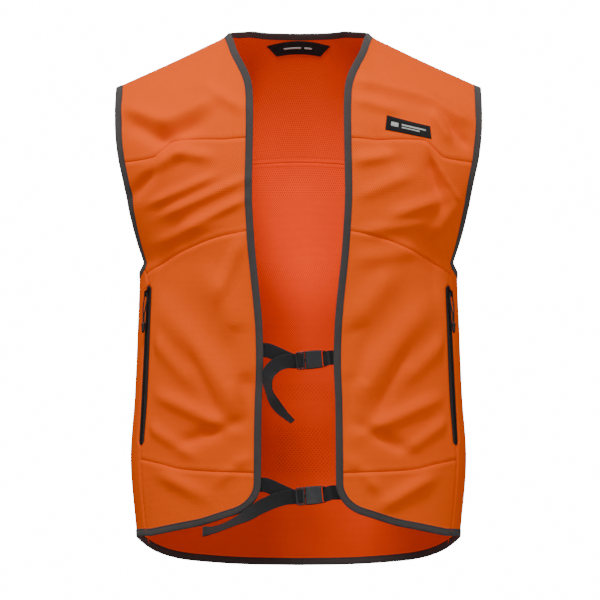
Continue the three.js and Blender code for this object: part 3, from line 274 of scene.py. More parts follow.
def drape(angle, height):
    """How far the cloth stands off the skin, in millimetres.
    Its folds are held flat at the zips, the straps, the lower tail and the shoulders."""
    angle = (np.asarray(angle, float) + 180) % 360 - 180
    x, _, z = np.moveaxis(skin(angle, height), -1, 0)
    level = level_of(np.minimum(height, TOP))
    back = smooth(78, 100, np.abs(angle))
    swell = lerp(ridges(x, z, FRONT_FOLDS), ridges(x, z, BACK_FOLDS), back)
    zip_reach = smooth(120, 165, level) * (1 - smooth(412, 440, level))
    flat_zip = 1 - (1 - smooth(4, 12, np.abs(np.abs(angle) - SIDE_SEAM))) * zip_reach
    flat_top = 1 - smooth(RIDGE_LEVEL - 60, RIDGE_LEVEL - 8, level)
    clear = smooth(20, 44, np.abs(z - STRAP_LEVELS[0])) * smooth(20, 44, np.abs(z - STRAP_LEVELS[1]))
    strap = np.maximum(smooth(76, 104, np.abs(x)) + back, clear)
    tail = 1 - np.exp(-((x + 95) / 55) ** 2 - ((z - 90) / 38) ** 2) * (1 - back)
    return swell * flat_zip * flat_top * np.clip(strap, 0, 1) * np.clip(tail, 0, 1)


def lay(angle, height, lift=0.0):
    """A place on the draped cloth: the skin plus its outward direction times drape + lift."""
    out = outward(angle, height)
    offset = drape(angle, height) + lift
    return skin(angle, height) + out * np.asarray(offset)[..., None]

# %% [markdown]
# ## From arrays to meshes
# A grid of points becomes a mesh of quads in one go. The same helper closes a grid into a tube, caps its
# ends, turns the faces outwards and keeps a UV map in metres along the cloth, which the woven patterns
# follow.

# %% Mesh helpers
NAPE = skin(180.0, height_of(back_neck(0.0)))
MM = 0.001


def to_metres(points):
    """Millimetres of the garment to metres of the frame, whose origin is the nape."""
    return (np.asarray(points, float) - NAPE) * MM


def arc_lengths(points, axis):
    """Distance run along one axis of a grid of points, from its first row or column."""
    step = np.linalg.norm(np.diff(points, axis=axis), axis=-1)
    start = np.zeros_like(np.take(step, [0], axis))
    return np.concatenate([start, np.cumsum(step, axis)], axis)


def normals_outward(mesh):
    """Turns the faces of a closed mesh outwards."""
    work = bmesh.new()
    work.from_mesh(mesh)
    bmesh.ops.recalc_face_normals(work, faces=work.faces)
    work.to_mesh(mesh)
    work.free()


def shade_smooth(mesh):
    """Lets the shading run smoothly over a mesh's faces."""
    mesh.polygons.foreach_set("use_smooth", [True] * len(mesh.polygons))


def placed_object(name, mesh):
    """An object of the scene made from a mesh."""
    piece = bpy.data.objects.new(name, mesh)
    bpy.context.collection.objects.link(piece)
    return piece


def thicken(piece, thickness, centred=True):
    """Gives a sheet its thickness in millimetres, about its middle or else from its face inwards."""
    wall = piece.modifiers.new("cloth", "SOLIDIFY")
    wall.thickness = thickness * MM
    if centred:
        wall.offset = 0


def grid_mesh(name, points, around=False, closed=False, caps=False, uv=None, facing=None):
    """Quads between neighbouring points of a grid.
    around joins the last column to the first, and closed the last row to the first. uv gives the map's
    two coordinates at each point, or else distances along rows and columns, in metres. A sheet is turned
    to look along facing, and a tube outwards."""
    n, m = points.shape[:2]
    rows, cols = n if closed else n - 1, m if around else m - 1
    i, j = np.meshgrid(np.arange(rows), np.arange(cols), indexing="ij")
    i, j = i.ravel(), j.ravel()
    i2, j2 = i + 1, j + 1
    faces = np.stack([i * m + j, (i2 % n) * m + j, (i2 % n) * m + j2 % m, i * m + j2 % m], 1)
    if uv is None:
        wide = points if not closed else np.concatenate([points, points[:1]])
        wide = wide if not around else np.concatenate([wide, wide[:, :1]], 1)
        u = arc_lengths(wide, 0).mean(1, keepdims=True) + np.zeros(wide.shape[:2])
        v = arc_lengths(wide, 1).mean(0, keepdims=True) + np.zeros(wide.shape[:2])
        uv = np.stack([u, v], -1) * MM
    corners = np.stack([uv[i, j], uv[np.minimum(i2, uv.shape[0] - 1), j],
                        uv[np.minimum(i2, uv.shape[0] - 1), np.minimum(j2, uv.shape[1] - 1)],
                        uv[i, np.minimum(j2, uv.shape[1] - 1)]], 1)
    place = to_metres(points)
    flat = place.reshape(-1, 3)
    a, b, c = flat[faces[:, 0]], flat[faces[:, 1]], flat[faces[:, 2]]
    normal = np.cross(b - a, c - a)
    if around:
        turned = np.einsum("ij,ij->", a - flat.mean(0), normal) < 0
        if caps or not closed:
            centre = place.mean(1)[i % n]
            turned = np.einsum("ij,ij->", a - centre, normal) < 0
    else:
        turned = np.einsum("ij,ij->", normal, np.broadcast_to(facing(a), a.shape)) < 0
    if turned:
        faces, corners = faces[:, ::-1], corners[:, ::-1]
    faces_list = faces.tolist()
    corner_list = corners.reshape(-1, 2)
    if caps:
        first, last = list(range(m)), list(range((n - 1) * m, n * m))
        faces_list += [last[::-1], first] if turned else [last, first[::-1]]
        corner_list = np.concatenate([corner_list, np.zeros((2 * m, 2))])
    mesh = bpy.data.meshes.new(name)
    mesh.from_pydata(flat.tolist(), [], faces_list)
    mesh.uv_layers.new(name="UVMap").data.foreach_set("uv", corner_list.ravel())
    if caps:
        normals_outward(mesh)
    shade_smooth(mesh)
    mesh.update()
    return placed_object(name, mesh)


def finish_piece(piece, body, material, replaces=()):
    """Gives a piece its material, the body that it rides on and the CAD nodes that it stands for."""
    piece.data.materials.clear()
    piece.data.materials.append(material)
    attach(piece, body)
    for node in replaces:
        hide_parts(node)


def from_body(points):
    """The direction away from the garment's middle line, for turning panels outwards."""
    middle = to_metres([0, 0, 0])
    out = points - middle
    out[:, 2] = 0
    return out

# %% [markdown]
# ## Camera
# The vest is seen level and from far away, so that its sides stay almost parallel: a long lens twelve
# metres off.

# %% Camera
VIEW_WIDTH = 0.8304
DISTANCE = 12.0
camera = bpy.data.objects.new("camera", bpy.data.cameras.new("camera"))
bpy.context.collection.objects.link(camera)
camera.data.sensor_width = 36
camera.data.lens = 36 * DISTANCE / VIEW_WIDTH
camera.data.clip_end = 60
camera.location = (0.0021, -DISTANCE - 0.17, -0.3734)
camera.rotation_euler = (math.pi / 2, 0, 0)
bpy.context.scene.camera = camera

# %% [markdown]
# ## Writing shaders as arithmetic
# A pattern such as a knit is a formula in the two cloth coordinates. Wrapping a socket in a small class
# lets the formula be written as Python, and each operation adds its Math node.

# %% Shader helpers
class Value:
    """A number socket that takes part in arithmetic."""

    def __init__(self, shader, socket):
        self.shader, self.socket = shader, socket

    def math(self, operation, *inputs):
        """One Math node over the given values."""
        return self.shader.value("ShaderNodeMath", {"operation": operation}, dict(enumerate(inputs)))

    def __add__(self, other):
        return self.math("ADD", self, other)

    def __radd__(self, other):
        return self.math("ADD", other, self)

    def __sub__(self, other):
        return self.math("SUBTRACT", self, other)

    def __rsub__(self, other):
        return self.math("SUBTRACT", other, self)

    def __mul__(self, other):
        return self.math("MULTIPLY", self, other)

    def __rmul__(self, other):
        return self.math("MULTIPLY", other, self)

    def __pow__(self, other):
        return self.math("POWER", self, other)

    def cos(self):
        return self.math("COSINE", self)

    def abs(self):
        return self.math("ABSOLUTE", self)

    def clamp(self):
        return self.math("MINIMUM", self.math("MAXIMUM", self, 0.0), 1.0)

    def step(self, low, high):
        """0 below low, 1 above high, straight between."""
        return ((self - low) * (1 / (high - low))).clamp()


class Shader:
    """A material under construction around its Principled BSDF."""

    def __init__(self, name, roughness, **fixed):
        self.material = bpy.data.materials.new(name)
        self.material.use_nodes = True
        self.tree = self.material.node_tree
        self.surface = self.tree.nodes["Principled BSDF"]
        self.surface.inputs["Roughness"].default_value = roughness
        for socket, value in fixed.items():
            self.surface.inputs[socket.replace("_", " ")].default_value = value

    def node(self, kind, settings, inputs):
        """Adds a node: its settings first, then the values or links of its sockets."""
        node = self.tree.nodes.new(kind)
        for key, value in settings.items():
            setattr(node, key, value)
        for key, value in inputs.items():
            self.set(node.inputs[key], value)
        return node

    def set(self, socket, value):
        """Links a socket or sets its number or colour."""
        if isinstance(value, Value):
            value = value.socket
        if isinstance(value, bpy.types.NodeSocket):
            self.tree.links.new(value, socket)
        else:
            socket.default_value = value

    def value(self, kind, settings, inputs, output=0):
        """A node's output as a Value."""
        return Value(self, self.node(kind, settings, inputs).outputs[output])

    def cloth(self):
        """The cloth's two coordinates in metres, from its UV map."""
        uv = self.node("ShaderNodeUVMap", {"uv_map": "UVMap"}, {})
        parts = self.node("ShaderNodeSeparateXYZ", {}, {0: uv.outputs[0]})
        return Value(self, parts.outputs[0]), Value(self, parts.outputs[1])

    def noise(self, scale, detail=3.0, stretch=(1, 1, 1)):
        """Soft noise over the object's own coordinates, from 0 to 1."""
        place = self.node("ShaderNodeTexCoord", {}, {}).outputs["Object"]
        placed = self.node("ShaderNodeMapping", {}, {0: place, "Scale": stretch}).outputs[0]
        return self.value("ShaderNodeTexNoise", {}, {"Vector": placed, "Scale": scale, "Detail": detail})

    def mix(self, factor, a, b):
        """The colour between a and b."""
        colours = [c if isinstance(c, bpy.types.NodeSocket) else (*c, 1.0) for c in (a, b)]
        node = self.node("ShaderNodeMix", {"data_type": "RGBA"}, {0: factor, 6: colours[0], 7: colours[1]})
        return node.outputs[2]

    def finish(self, colour=None, roughness=None, bump=None, depth=0.0004, strength=1.0, alpha=None):
        """Connects what varies to the surface and returns the material."""
        for key, value in (("Base Color", colour), ("Roughness", roughness), ("Alpha", alpha)):
            if value is not None:
                self.set(self.surface.inputs[key], value)
        if bump is not None:
            node = self.node("ShaderNodeBump", {}, {"Height": bump, "Distance": depth, "Strength": strength})
            self.tree.links.new(node.outputs[0], self.surface.inputs["Normal"])
        return self.material

# %% [markdown]
# ## Orange knit
# The shell is a warp knit with a staggered field of tiny pits, a little under three millimetres apart.
# The product of two cosines peaks on exactly such a staggered grid. The pits are deeper than the yarn
# round them and painted darker, which is painted shade in them, and a slow noise keeps the dye from
# looking printed. Inside the back the fabric lies in shade and in its own reflected light, and this is
# painted into its colour: that side is a redder orange.

# %% Knit materials
TURN = 2 * math.pi
ORANGE = (1.0, 0.112, 0.0005)
ORANGE_TONE_AND_PIT_SHADE = (0.62, 0.040, 0.0003)
# The inside of the back is a painted shaded copy of the orange: painted shade and reflected light make it
# redder.
INSIDE_SHADED = (1.0, 0.062, 0.0005)
INSIDE_SHADED_DEEP = (0.55, 0.024, 0.0003)


def knit(name, light, tone_and_pit_shade, pitch=0.0028, vents=False):
    """Staggered pits: cos(2 pi u / pitch) cos(2 pi v / (1.15 pitch)), raised to a narrow peak."""
    # A weak glow in the knit's own light colour is painted light, standing in for the brightness of the
    # fluorescent dye.
    s = Shader(name, 0.9, Specular_IOR_Level=0.06, Emission_Color=(*light, 1.0), Emission_Strength=0.1)
    u, v = s.cloth()
    field = (u * (TURN / pitch)).cos() * (v * (TURN / (1.15 * pitch))).cos()
    pits = field.step(0.2, 0.9)
    yarn = (v * (TURN / 0.0009)).cos() * 0.08 + (u * (TURN / 0.0007)).cos() * 0.05
    tone = s.noise(9.0) * 0.5 + s.noise(60.0) * 0.25
    # The pits are painted darker than the yarn round them: painted shade in the pits. The slow noise is the
    # dye's own tone.
    colour = s.mix((pits * 0.85 + tone * 0.3).clamp(), light, tone_and_pit_shade)
    height = yarn - pits
    if vents:
        big = (u * (TURN / 0.0052)).cos() * (v * (TURN / 0.006)).cos()
        holes = big.step(0.45, 0.8) * s.value("ShaderNodeAttribute", {"attribute_name": "vent"}, {}, 2)
        # The vent holes are painted near black, which is painted shade where one looks into them; they are
        # also sunk in the bump.
        colour = s.mix(holes * 0.6, colour, (0.25, 0.015, 0.001))
        height = height - holes * 1.5
    return s.finish(colour, 0.78 + tone * 0.12, height, depth=0.00045, strength=0.55)


knit_orange = knit("orange knit", ORANGE, ORANGE_TONE_AND_PIT_SHADE)
knit_inside_shaded = knit("orange knit seen from inside, painted in shade", INSIDE_SHADED, INSIDE_SHADED_DEEP, vents=True)
lining = knit("pocket lining mesh", (0.75, 0.06, 0.002), (0.4, 0.02, 0.001), pitch=0.0022)


def thread(name, dark, light):
    """Sewing thread, mottled finely between two tones."""
    s = Shader(name, 0.6, Specular_IOR_Level=0.3)
    return s.finish(s.mix(s.noise(900.0), dark, light))


thread_orange = thread("orange thread", (0.8, 0.09, 0.004), (1.0, 0.2, 0.01))
thread_dark = thread("dark thread", (0.02, 0.018, 0.018), (0.05, 0.045, 0.044))

# %% [markdown]
# ## Ribbed binding, webbing and tape
# The binding is a grosgrain tape: fine ribs run across it. The webbing is a flat weave of heavier yarns
# in a herringbone, and the zip tape a fine twill. Each is a wave in the coordinates along and across the
# tape.

# %% Tape materials
def ribbed(name, light, dark, pitch, twill=0.0, depth=0.0003):
    """Ribs across a tape: a cosine of u + twill |v|, sharpened, with a fine weft."""
    s = Shader(name, 0.85, Specular_IOR_Level=0.2, Sheen_Weight=0.15, Sheen_Roughness=0.5)
    u, v = s.cloth()
    ribs = ((u + v * twill) * (TURN / pitch)).cos() * 0.5 + 0.5
    weft = (v * (TURN / (0.8 * pitch))).cos() * 0.25
    tone = s.noise(35.0)
    # The grooves between the ribs are painted darker than the crests: painted shade. The slow noise is the
    # yarn's own tone.
    colour = s.mix((ribs * 0.6 + weft + tone * 0.35).clamp(), dark, light)
    return s.finish(colour, 0.78 + tone * 0.15, ribs + weft, depth=depth, strength=0.8)


binding_tape = ribbed("charcoal ribbed binding", (0.105, 0.092, 0.088), (0.035, 0.03, 0.03), 0.0012)
webbing = ribbed("black webbing", (0.028, 0.028, 0.031), (0.006, 0.006, 0.007), 0.0017,
                 twill=0.9, depth=0.0005)
zip_tape = ribbed("black zip tape", (0.035, 0.027, 0.026), (0.012, 0.009, 0.009), 0.0008, twill=1.0)
cord_yarn = ribbed("braided cord", (0.04, 0.04, 0.042), (0.01, 0.01, 0.011), 0.0009, twill=1.0)
label_weave = ribbed("woven black label", (0.012, 0.012, 0.013), (0.003, 0.003, 0.004), 0.0006)
label_thread = ribbed("pale label thread", (0.75, 0.75, 0.73), (0.45, 0.45, 0.44), 0.0006)

# %% [markdown]
# ## Moulded plastic and enamel
# The buckles are black acetal: a satin skin with a fine mould grain, rubbed a little smoother and paler
# in patches. The zip's slider and stops are cast metal in black enamel, whose gloss breaks up with
# handling.

# %% Hard materials
def moulded(name, base, worn, roughness, metallic=0.0, grain=900.0):
    """Satin plastic or enamel: fine grain in the bump, slow wear in colour and roughness."""
    s = Shader(name, roughness, Specular_IOR_Level=0.45, Metallic=metallic)
    wear = s.noise(120.0, 4.0).step(0.55, 0.8)
    colour = s.mix(wear * 0.6, base, worn)
    return s.finish(colour, roughness - wear * 0.1, s.noise(grain, 2.0), depth=0.00006, strength=0.5)


plastic = moulded("black moulded plastic", (0.012, 0.013, 0.015), (0.028, 0.029, 0.032), 0.42)
tooth_plastic = moulded("zip tooth plastic", (0.012, 0.010, 0.010), (0.03, 0.026, 0.026), 0.4)
enamel = moulded("black enamel", (0.016, 0.016, 0.018), (0.09, 0.09, 0.095), 0.34, metallic=0.5)
end_rubber = moulded("moulded cord end", (0.018, 0.016, 0.016), (0.04, 0.037, 0.036), 0.6)

# %% [markdown]
# ## Straps: where the buckles are
# Each buckle has its own frame: X runs from its plug to its socket and Z is up, tilted by five degrees.
# The free end of the webbing leaves the plug towards the wearer's right. It was cut with a few
# centimetres to spare, so it is a free flat cord: it hangs down, turns edge on, and its width direction
# turns with it.

# %% Buckle frames and routes
TILT = math.radians(5)
TO_FRAME = np.array([[math.cos(TILT), 0, math.sin(TILT)], [0, 1, 0], [-math.sin(TILT), 0, math.cos(TILT)]])
WEB, WEB_THICK = 20.0, 1.3
UNDER_TAIL, UNDER_BAR, OVER_BAR = 2.4, 0.75, -1.9
STRAPS = {
    "upper": dict(buckle=289.0, right=304.0, left=294.0),
    "lower": dict(buckle=101.5, right=118.0, left=107.5),
}
# Each stop of a tail: its place, and the direction of the webbing's width there.
TAILS = {
    "upper": [
        ((-12, -4.6, 1), (0, .08, 1)), ((-25, -12, -2), (-.2, .25, 1)), ((-36, -15, -10), (-.75, .35, .7)),
        ((-41, -17, -22), (-.8, .75, .15)), ((-40, -16, -38), (-.55, .9, -.1)),
        ((-34, -15, -54), (-.7, .65, -.1)), ((-24, -14, -69), (-.8, .5, .35)),
        ((-11, -13, -83), (-.75, .25, .65))],
    "lower": [
        ((-14, -3, 0), (0, 0, 1)), ((-30, -11, -3), (0, .15, 1)), ((-48, -16.5, -9), (.1, .3, .95)),
        ((-68, -17.5, -19), (.2, .5, .85)), ((-88, -16.5, -27), (.25, .8, .6)),
        ((-106, -15, -33), (.15, .88, .48)), ((-121, -13.5, -36), (.05, .85, .5)),
        ((-132, -12, -36.5), (0, .75, .66))],
}


def front_skin(x, level):
    """The skin's place on the front at a distance x from the centre and a level."""
    return skin(angle_of(x, level), height_of(level))


def buckle_origin(strap):
    """Where a buckle's frame starts: 4 mm right of centre, behind the front edge's own depth."""
    edge = front_skin(front_edge(strap["buckle"]), strap["buckle"])
    return np.array([-4.0, edge[1] + 3.5 - UNDER_TAIL, strap["buckle"]])


def from_buckle(strap, points):
    """Points of a buckle's frame in the garment's."""
    return buckle_origin(strap) + np.asarray(points, float) @ TO_FRAME


def curve_through(points, count):
    """A centripetal curve through points, sampled evenly in its parameter, its ends extended straight."""
    p = np.asarray(points, float)
    p = np.concatenate([[2 * p[0] - p[1]], p, [2 * p[-1] - p[-2]]])
    t = np.linspace(0, len(p) - 3, count)
    k = np.minimum(t.astype(int), len(p) - 4)
    s = (t - k)[:, None]
    q = [p[k + i] for i in range(4)]
    d = [np.maximum(np.linalg.norm(q[i + 1] - q[i], axis=1, keepdims=True), 1e-6) ** 0.5 for i in range(3)]
    m1 = ((q[1] - q[0]) / d[0] - (q[2] - q[0]) / (d[0] + d[1]) + (q[2] - q[1]) / d[1]) * d[1]
    m2 = ((q[2] - q[1]) / d[1] - (q[3] - q[1]) / (d[1] + d[2]) + (q[3] - q[2]) / d[2]) * d[1]
    return q[1] + s * (m1 + s * (3 * (q[2] - q[1]) - 2 * m1 - m2 + s * (m1 + m2 - 2 * (q[2] - q[1]))))


def spaced(points, step):
    """The same run of points, respaced evenly at about the given step."""
    reach = arc_lengths(points[:, None], 0)[:, 0]
    at = np.linspace(0, reach[-1], max(3, int(reach[-1] / step) + 1))
    return np.stack([np.interp(at, reach, points[:, k]) for k in range(points.shape[1])], 1)


def softened(points, passes):
    """Each inner point moved to the mean of itself and its neighbours, several times."""
    points = points.copy()
    for _ in range(passes):
        points[1:-1] = 0.25 * points[:-2] + 0.5 * points[1:-1] + 0.25 * points[2:]
    return points


def sides_along(path, wanted):
    """Width directions squared to the path, and the direction through the thickness."""
    ahead = unit(np.gradient(path, axis=0))
    side = unit(wanted - ahead * np.sum(wanted * ahead, 1, keepdims=True))
    return side, np.cross(ahead, side)


def ribbon(name, path, wanted, width=WEB, thick=WEB_THICK, end_fold=0.0):
    """Webbing: a flat rounded section carried along a path.
    The section runs half width |cos t|^0.5 one way and half thickness |sin t|^0.35 the other, with the
    signs of cos t and sin t. end_fold doubles its thickness over that length at the end, where it is
    turned back and sewn."""
    side, out = sides_along(path, wanted)
    t = np.linspace(0, 2 * math.pi, 20, endpoint=False)
    across = np.sign(np.cos(t)) * np.abs(np.cos(t)) ** 0.5 * width / 2
    through_it = np.sign(np.sin(t)) * np.abs(np.sin(t)) ** 0.35 * thick / 2
    left = arc_lengths(path[:, None], 0)[:, 0]
    left = left[-1] - left
    grow = 1 + (1 - smooth(end_fold - 1.5, end_fold, left)) * (end_fold > 0)
    lift = (through_it[None] * grow[:, None])[..., None]
    points = path[:, None] + side[:, None] * across[None, :, None] + out[:, None] * lift
    u = arc_lengths(path[:, None], 0)
    uv = np.stack([u + 0 * t[None], across[None] + 0 * u], -1) * MM
    uv = np.concatenate([uv, uv[:, :1]], 1)
    return grid_mesh(name, points, around=True, caps=True, uv=uv)

# %% [markdown]
# ## The strap tails
# The tail is a flat cord of known length, drawn through the route that the frame's solid takes. Its first
# centimetre, which wraps the plug's bars, is a separate short piece: a buckle holds it there, so only the
# rest is free.

# %% Strap tails
for name, strap in STRAPS.items():
    start = [(-1.5, UNDER_BAR, 0)]
    route = curve_through(start + [at for at, _ in TAILS[name]], 90)
    turning = unit(curve_through([(0, 0, 1)] + [width for _, width in TAILS[name]], 90))
    both = spaced(np.concatenate([from_buckle(strap, route), turning @ TO_FRAME], 1), 1.6)
    path, wanted = both[:, :3], both[:, 3:]
    tail = ribbon(f"{name}_webbing_tail", path, wanted, end_fold=11.0)
    finish_piece(tail, f"{name}_plug", webbing, [f"{name}_strap_tail"])
    length = float(arc_lengths(path[:, None], 0)[-1, 0]) * MM
    line = to_metres(path)
    print(f"{name} tail: {length * 1000:.0f} mm free")
    wrap = [(8.7, 1.4, 0), (8.7, OVER_BAR, 0), (3.7, OVER_BAR, 0), (3.7, UNDER_BAR, 0), (-1.5, UNDER_BAR, 0)]
    path = softened(spaced(from_buckle(strap, wrap), 0.5), 3)
    piece = ribbon(f"{name}_webbing_wrap", path, np.broadcast_to(TO_FRAME[2], path.shape))
    finish_piece(piece, f"{name}_plug", webbing)

# %% [markdown]
# ## The straps that the fronts hold
# On the wearer's right the webbing runs from behind the front edge to the plug. On the left it goes round
# the socket's rear bar and back, two layers sewn behind the edge.

# %% Held straps
EDGE_TO_STRAP = 3.5
REAR_BAR = 41.15  # the socket's rear bar, along the buckle
LOOP_HALF = 2.2  # from the bar's middle to each layer of webbing
LOOP_REACH = 3.2  # how far the loop swings round the bar


def sewn_end(strap, side, height):
    """Four places from 20 mm behind a front edge to 6 mm past it, in the garment's frame."""
    edge = front_edge(height)
    past = np.array([20.0, 10.0, 2.0, -6.0])
    on = front_skin(edge + np.maximum(past, 0), height + 0 * past)
    return np.stack([side * (edge + past), on[:, 1] + EDGE_TO_STRAP, height + 0 * past], 1)


for name, strap in STRAPS.items():
    upright = TO_FRAME[2]
    held = np.concatenate([sewn_end(strap, -1, strap["right"]),
                           from_buckle(strap, [(x, UNDER_TAIL, 0) for x in (-2, 4, 12)])])
    path = spaced(curve_through(held, 80), 1.5)
    piece = ribbon(f"{name}_webbing_right", path, np.broadcast_to(upright, path.shape))
    finish_piece(piece, "vest", webbing, [f"{name}_strap_right"])
    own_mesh(piece)

    front = sewn_end(strap, 1, strap["left"])
    back = front + [0, WEB_THICK + 0.35, 0]
    round_bar = [(REAR_BAR - LOOP_REACH * math.sin(a), LOOP_HALF * math.cos(a), 0)
                 for a in np.radians([0, 30, 60, 90, 120, 150, 180])]
    loop = from_buckle(strap, [(43.5, LOOP_HALF, 0)] + round_bar + [(43.5, -LOOP_HALF, 0)])
    path = softened(spaced(np.concatenate([back, loop, front[::-1]]), 0.9), 4)
    piece = ribbon(f"{name}_webbing_left", path, np.broadcast_to(upright, path.shape))
    finish_piece(piece, "vest", webbing, [f"{name}_strap_left"])

# %% [markdown]
# ## Zip frames and pull cords
# A zip is straight, and its own frame has Z up the teeth and Y out of the garment. The right one is
# worked out, and the left one is its mirror image. The pull is a doubled cord through the slider's
# bridge, whose legs meet in a moulded end: in effect one flat cord, two strands wide.

# %% Zip frames
zip_top = skin(-SIDE_SEAM, ZIP_TOP)
zip_low = skin(-SIDE_SEAM, ZIP_BOTTOM)
zip_up = unit(zip_top - zip_low)
middle = (ZIP_TOP + ZIP_BOTTOM) / 2
zip_across = skin(-SIDE_SEAM - 1, middle) - skin(-SIDE_SEAM + 1, middle)
zip_across = unit(zip_across - zip_up * (zip_across @ zip_up))
zip_out = np.cross(zip_up, zip_across)
zip_out = zip_out if zip_out[0] < 0 else -zip_out
ZIP_AXES = np.stack([np.cross(zip_out, zip_up), zip_out, zip_up])
ZIP_LENGTH = ZIP_TOP - ZIP_BOTTOM


def from_zip(side, points):
    """Points of a zip's frame in the garment's; the left zip's x is mirrored."""
    placed = zip_top + np.asarray(points, float) @ ZIP_AXES
    placed[..., 0] *= -SIDE_SIGN[side]
    return placed


CHANNEL = 2.2 / 2 + 0.35  # half of the slider's height
BRIDGE_Y, BRIDGE_Z = CHANNEL + 1.1 + 1.5, -5.35  # where the cord passes through the slider's bridge
CORD_RADIUS, CORD_DROP = 0.9, 40.0
LIFT = 1.8  # how far the hanging cord stands out from the bridge


def tube(name, path, radius, sides=12):
    """A round cord: radius (cos t, sin t) in the plane square to the path, along it."""
    ahead = unit(np.gradient(path, axis=0))
    side = unit(np.cross(ahead, np.broadcast_to([0.31, 0.89, 0.13], ahead.shape)))
    out = np.cross(ahead, side)
    t = np.linspace(0, 2 * math.pi, sides, endpoint=False)
    ring = side[:, None] * np.cos(t)[None, :, None] + out[:, None] * np.sin(t)[None, :, None]
    return grid_mesh(name, path[:, None] + ring * radius, around=True, caps=True)


def turned(name, place, profile, sides=32):
    """A turned solid: each (radius, height) of the profile swept round the zip's vertical line."""
    t = np.linspace(0, 2 * math.pi, sides, endpoint=False)
    profile = np.array(profile, float)
    ring = np.stack([profile[:, :1] * np.cos(t), profile[:, :1] * np.sin(t), profile[:, 1:] + 0 * t], -1)
    return grid_mesh(name, place(ring), around=True, caps=True)


for side in SIDE_SIGN:
    leg = [(1.35, LIFT, -CORD_DROP), (1.5, LIFT + .3, -0.7 * CORD_DROP),
           (2.8, LIFT, -0.55 * CORD_DROP), (3.4, 0, -6), (2.4, 0, -1)]
    route = [(-x, y, z) for x, y, z in leg] + [(0, 0, 0)] + leg[::-1]
    route = np.array(route) + [0, BRIDGE_Y, BRIDGE_Z]
    path = spaced(curve_through(from_zip(side, route), 160), 0.8)
    cord = tube(f"{side}_zip_cord", path, CORD_RADIUS)
    finish_piece(cord, f"{side}_pull", cord_yarn, [f"{side}_pull_cord"])
    grips = [(0.35, 0), (1.9, -.2), (2.6, -1.2), (3.0, -2.8)]
    for z in (4.2, 6.4, 8.6):
        grips += [(wide - z * .06, -z - down)
                  for wide, down in ((2.95, 0), (2.6, .5), (2.6, .9), (2.9, 1.4))]
    grips += [(1.9, -12.2), (1.25, -14.4), (0.5, -15)]
    centre = np.array([0, BRIDGE_Y + LIFT, BRIDGE_Z - CORD_DROP - .35])
    end = turned(f"{side}_zip_cord_end", lambda p: from_zip(side, p + centre), grips)
    finish_piece(end, f"{side}_pull", end_rubber, [f"{side}_pull_end"])
    line = [(0, BRIDGE_Y + LIFT * s ** 0.7, BRIDGE_Z - CORD_DROP * s) for s in np.linspace(0, 1, 30)]
    line = to_metres(from_zip(side, line))

# %% [markdown]
# ## Panels
# A panel is a sheet between two seams and two edges: u runs from the front edge to the side, v from the
# lower seam to the upper. The draped skin supplies the place. Beside a seam the cloth dips where the
# stitching pulls it in, a small valley a millimetre deep and three wide. The size that each panel was cut
# to, and its area, are printed.

# %% Panel helper
INSET = 3.5
CLOTH = 1.0
DIP_WIDTH = 2.2
PUFF_FROM_SEAM, PUFF_WIDTH, PUFF_HEIGHT = 5.5, 3.0, 0.35


def grid_of(nu, nv):
    """Two arrays of shares, u down the rows and v along the columns."""
    return np.meshgrid(np.linspace(0, 1, nu + 1), np.linspace(0, 1, nv + 1), indexing="ij")


def panel(name, angle, height, material, replaces, sewn, vent=None):
    """Cloth over a grid of angles and heights.
    sewn names the sides (u0, u1, v0, v1) that dip into a seam. vent is the share of vent holes."""
    flat = lay(angle, height)
    along_u, along_v = arc_lengths(flat, 0), arc_lengths(flat, 1)
    reach = {"u0": along_u, "u1": along_u[-1:] - along_u, "v0": along_v, "v1": along_v[:, -1:] - along_v}
    dip = sum(np.exp(-(reach[s] / DIP_WIDTH) ** 2) for s in sewn)
    puff = sum(np.exp(-((reach[s] - PUFF_FROM_SEAM) / PUFF_WIDTH) ** 2) for s in sewn)
    points = flat + outward(angle, height) * (PUFF_HEIGHT * puff - dip)[..., None]
    x = skin(angle, height)[..., 0]
    across = np.sign(angle.mean()) * (along_u - along_u.mean()) + x.mean()
    uv = np.stack([across, height + 0 * x], -1) * MM
    piece = grid_mesh(name, points, uv=uv, facing=from_body)
    if vent is not None:
        mask = piece.data.attributes.new("vent", "FLOAT", "POINT")
        mask.data.foreach_set("value", np.asarray(vent, float).ravel())
    thicken(piece, CLOTH)
    finish_piece(piece, "vest", material, replaces)
    width, length = along_u[-1].max() * MM, along_v[:, -1].max() * MM
    step_u, step_v = np.diff(points, axis=0)[:, :-1], np.diff(points, axis=1)[:-1]
    area = float(np.linalg.norm(np.cross(step_u, step_v), axis=-1).sum()) * MM * MM
    area = min(max(area, 0.31 * width * length), width * length)
    print(f"{name}: {width * 1000:.0f} x {length * 1000:.0f} mm, {area * 1e4:.0f} cm2")


def inner_angle(level):
    """A front panel's first angle, tucked into the front binding."""
    return angle_of(front_edge(level) + INSET, level)


def rim_angle(level):
    """A front panel's last angle: on the side seam, then tucked into the armhole's binding."""
    tucked = INSET * smooth(UNDERARM - 1, UNDERARM + 10, level)
    return outer_angle(level) - np.degrees(tucked / (half_width(level) * 0.75))


def zip_gap(level):
    """Half the slit's width at a level: nothing beyond the zip, widening within 8 mm of its ends."""
    opened = smooth(ZIP_BOTTOM - 9, ZIP_BOTTOM - 1, level)
    return ZIP_HALF_OPENING * opened * (1 - smooth(ZIP_TOP + 1, ZIP_TOP + 9, level))


def degree_at_seam(level):
    """The length of one degree round the body at the side seam."""
    return np.linalg.norm(skin(SIDE_SEAM + .5, level) - skin(SIDE_SEAM - .5, level), axis=-1)


def beside_zip(level):
    """Half the slit's width in degrees at the side seam."""
    return zip_gap(level) / degree_at_seam(level)

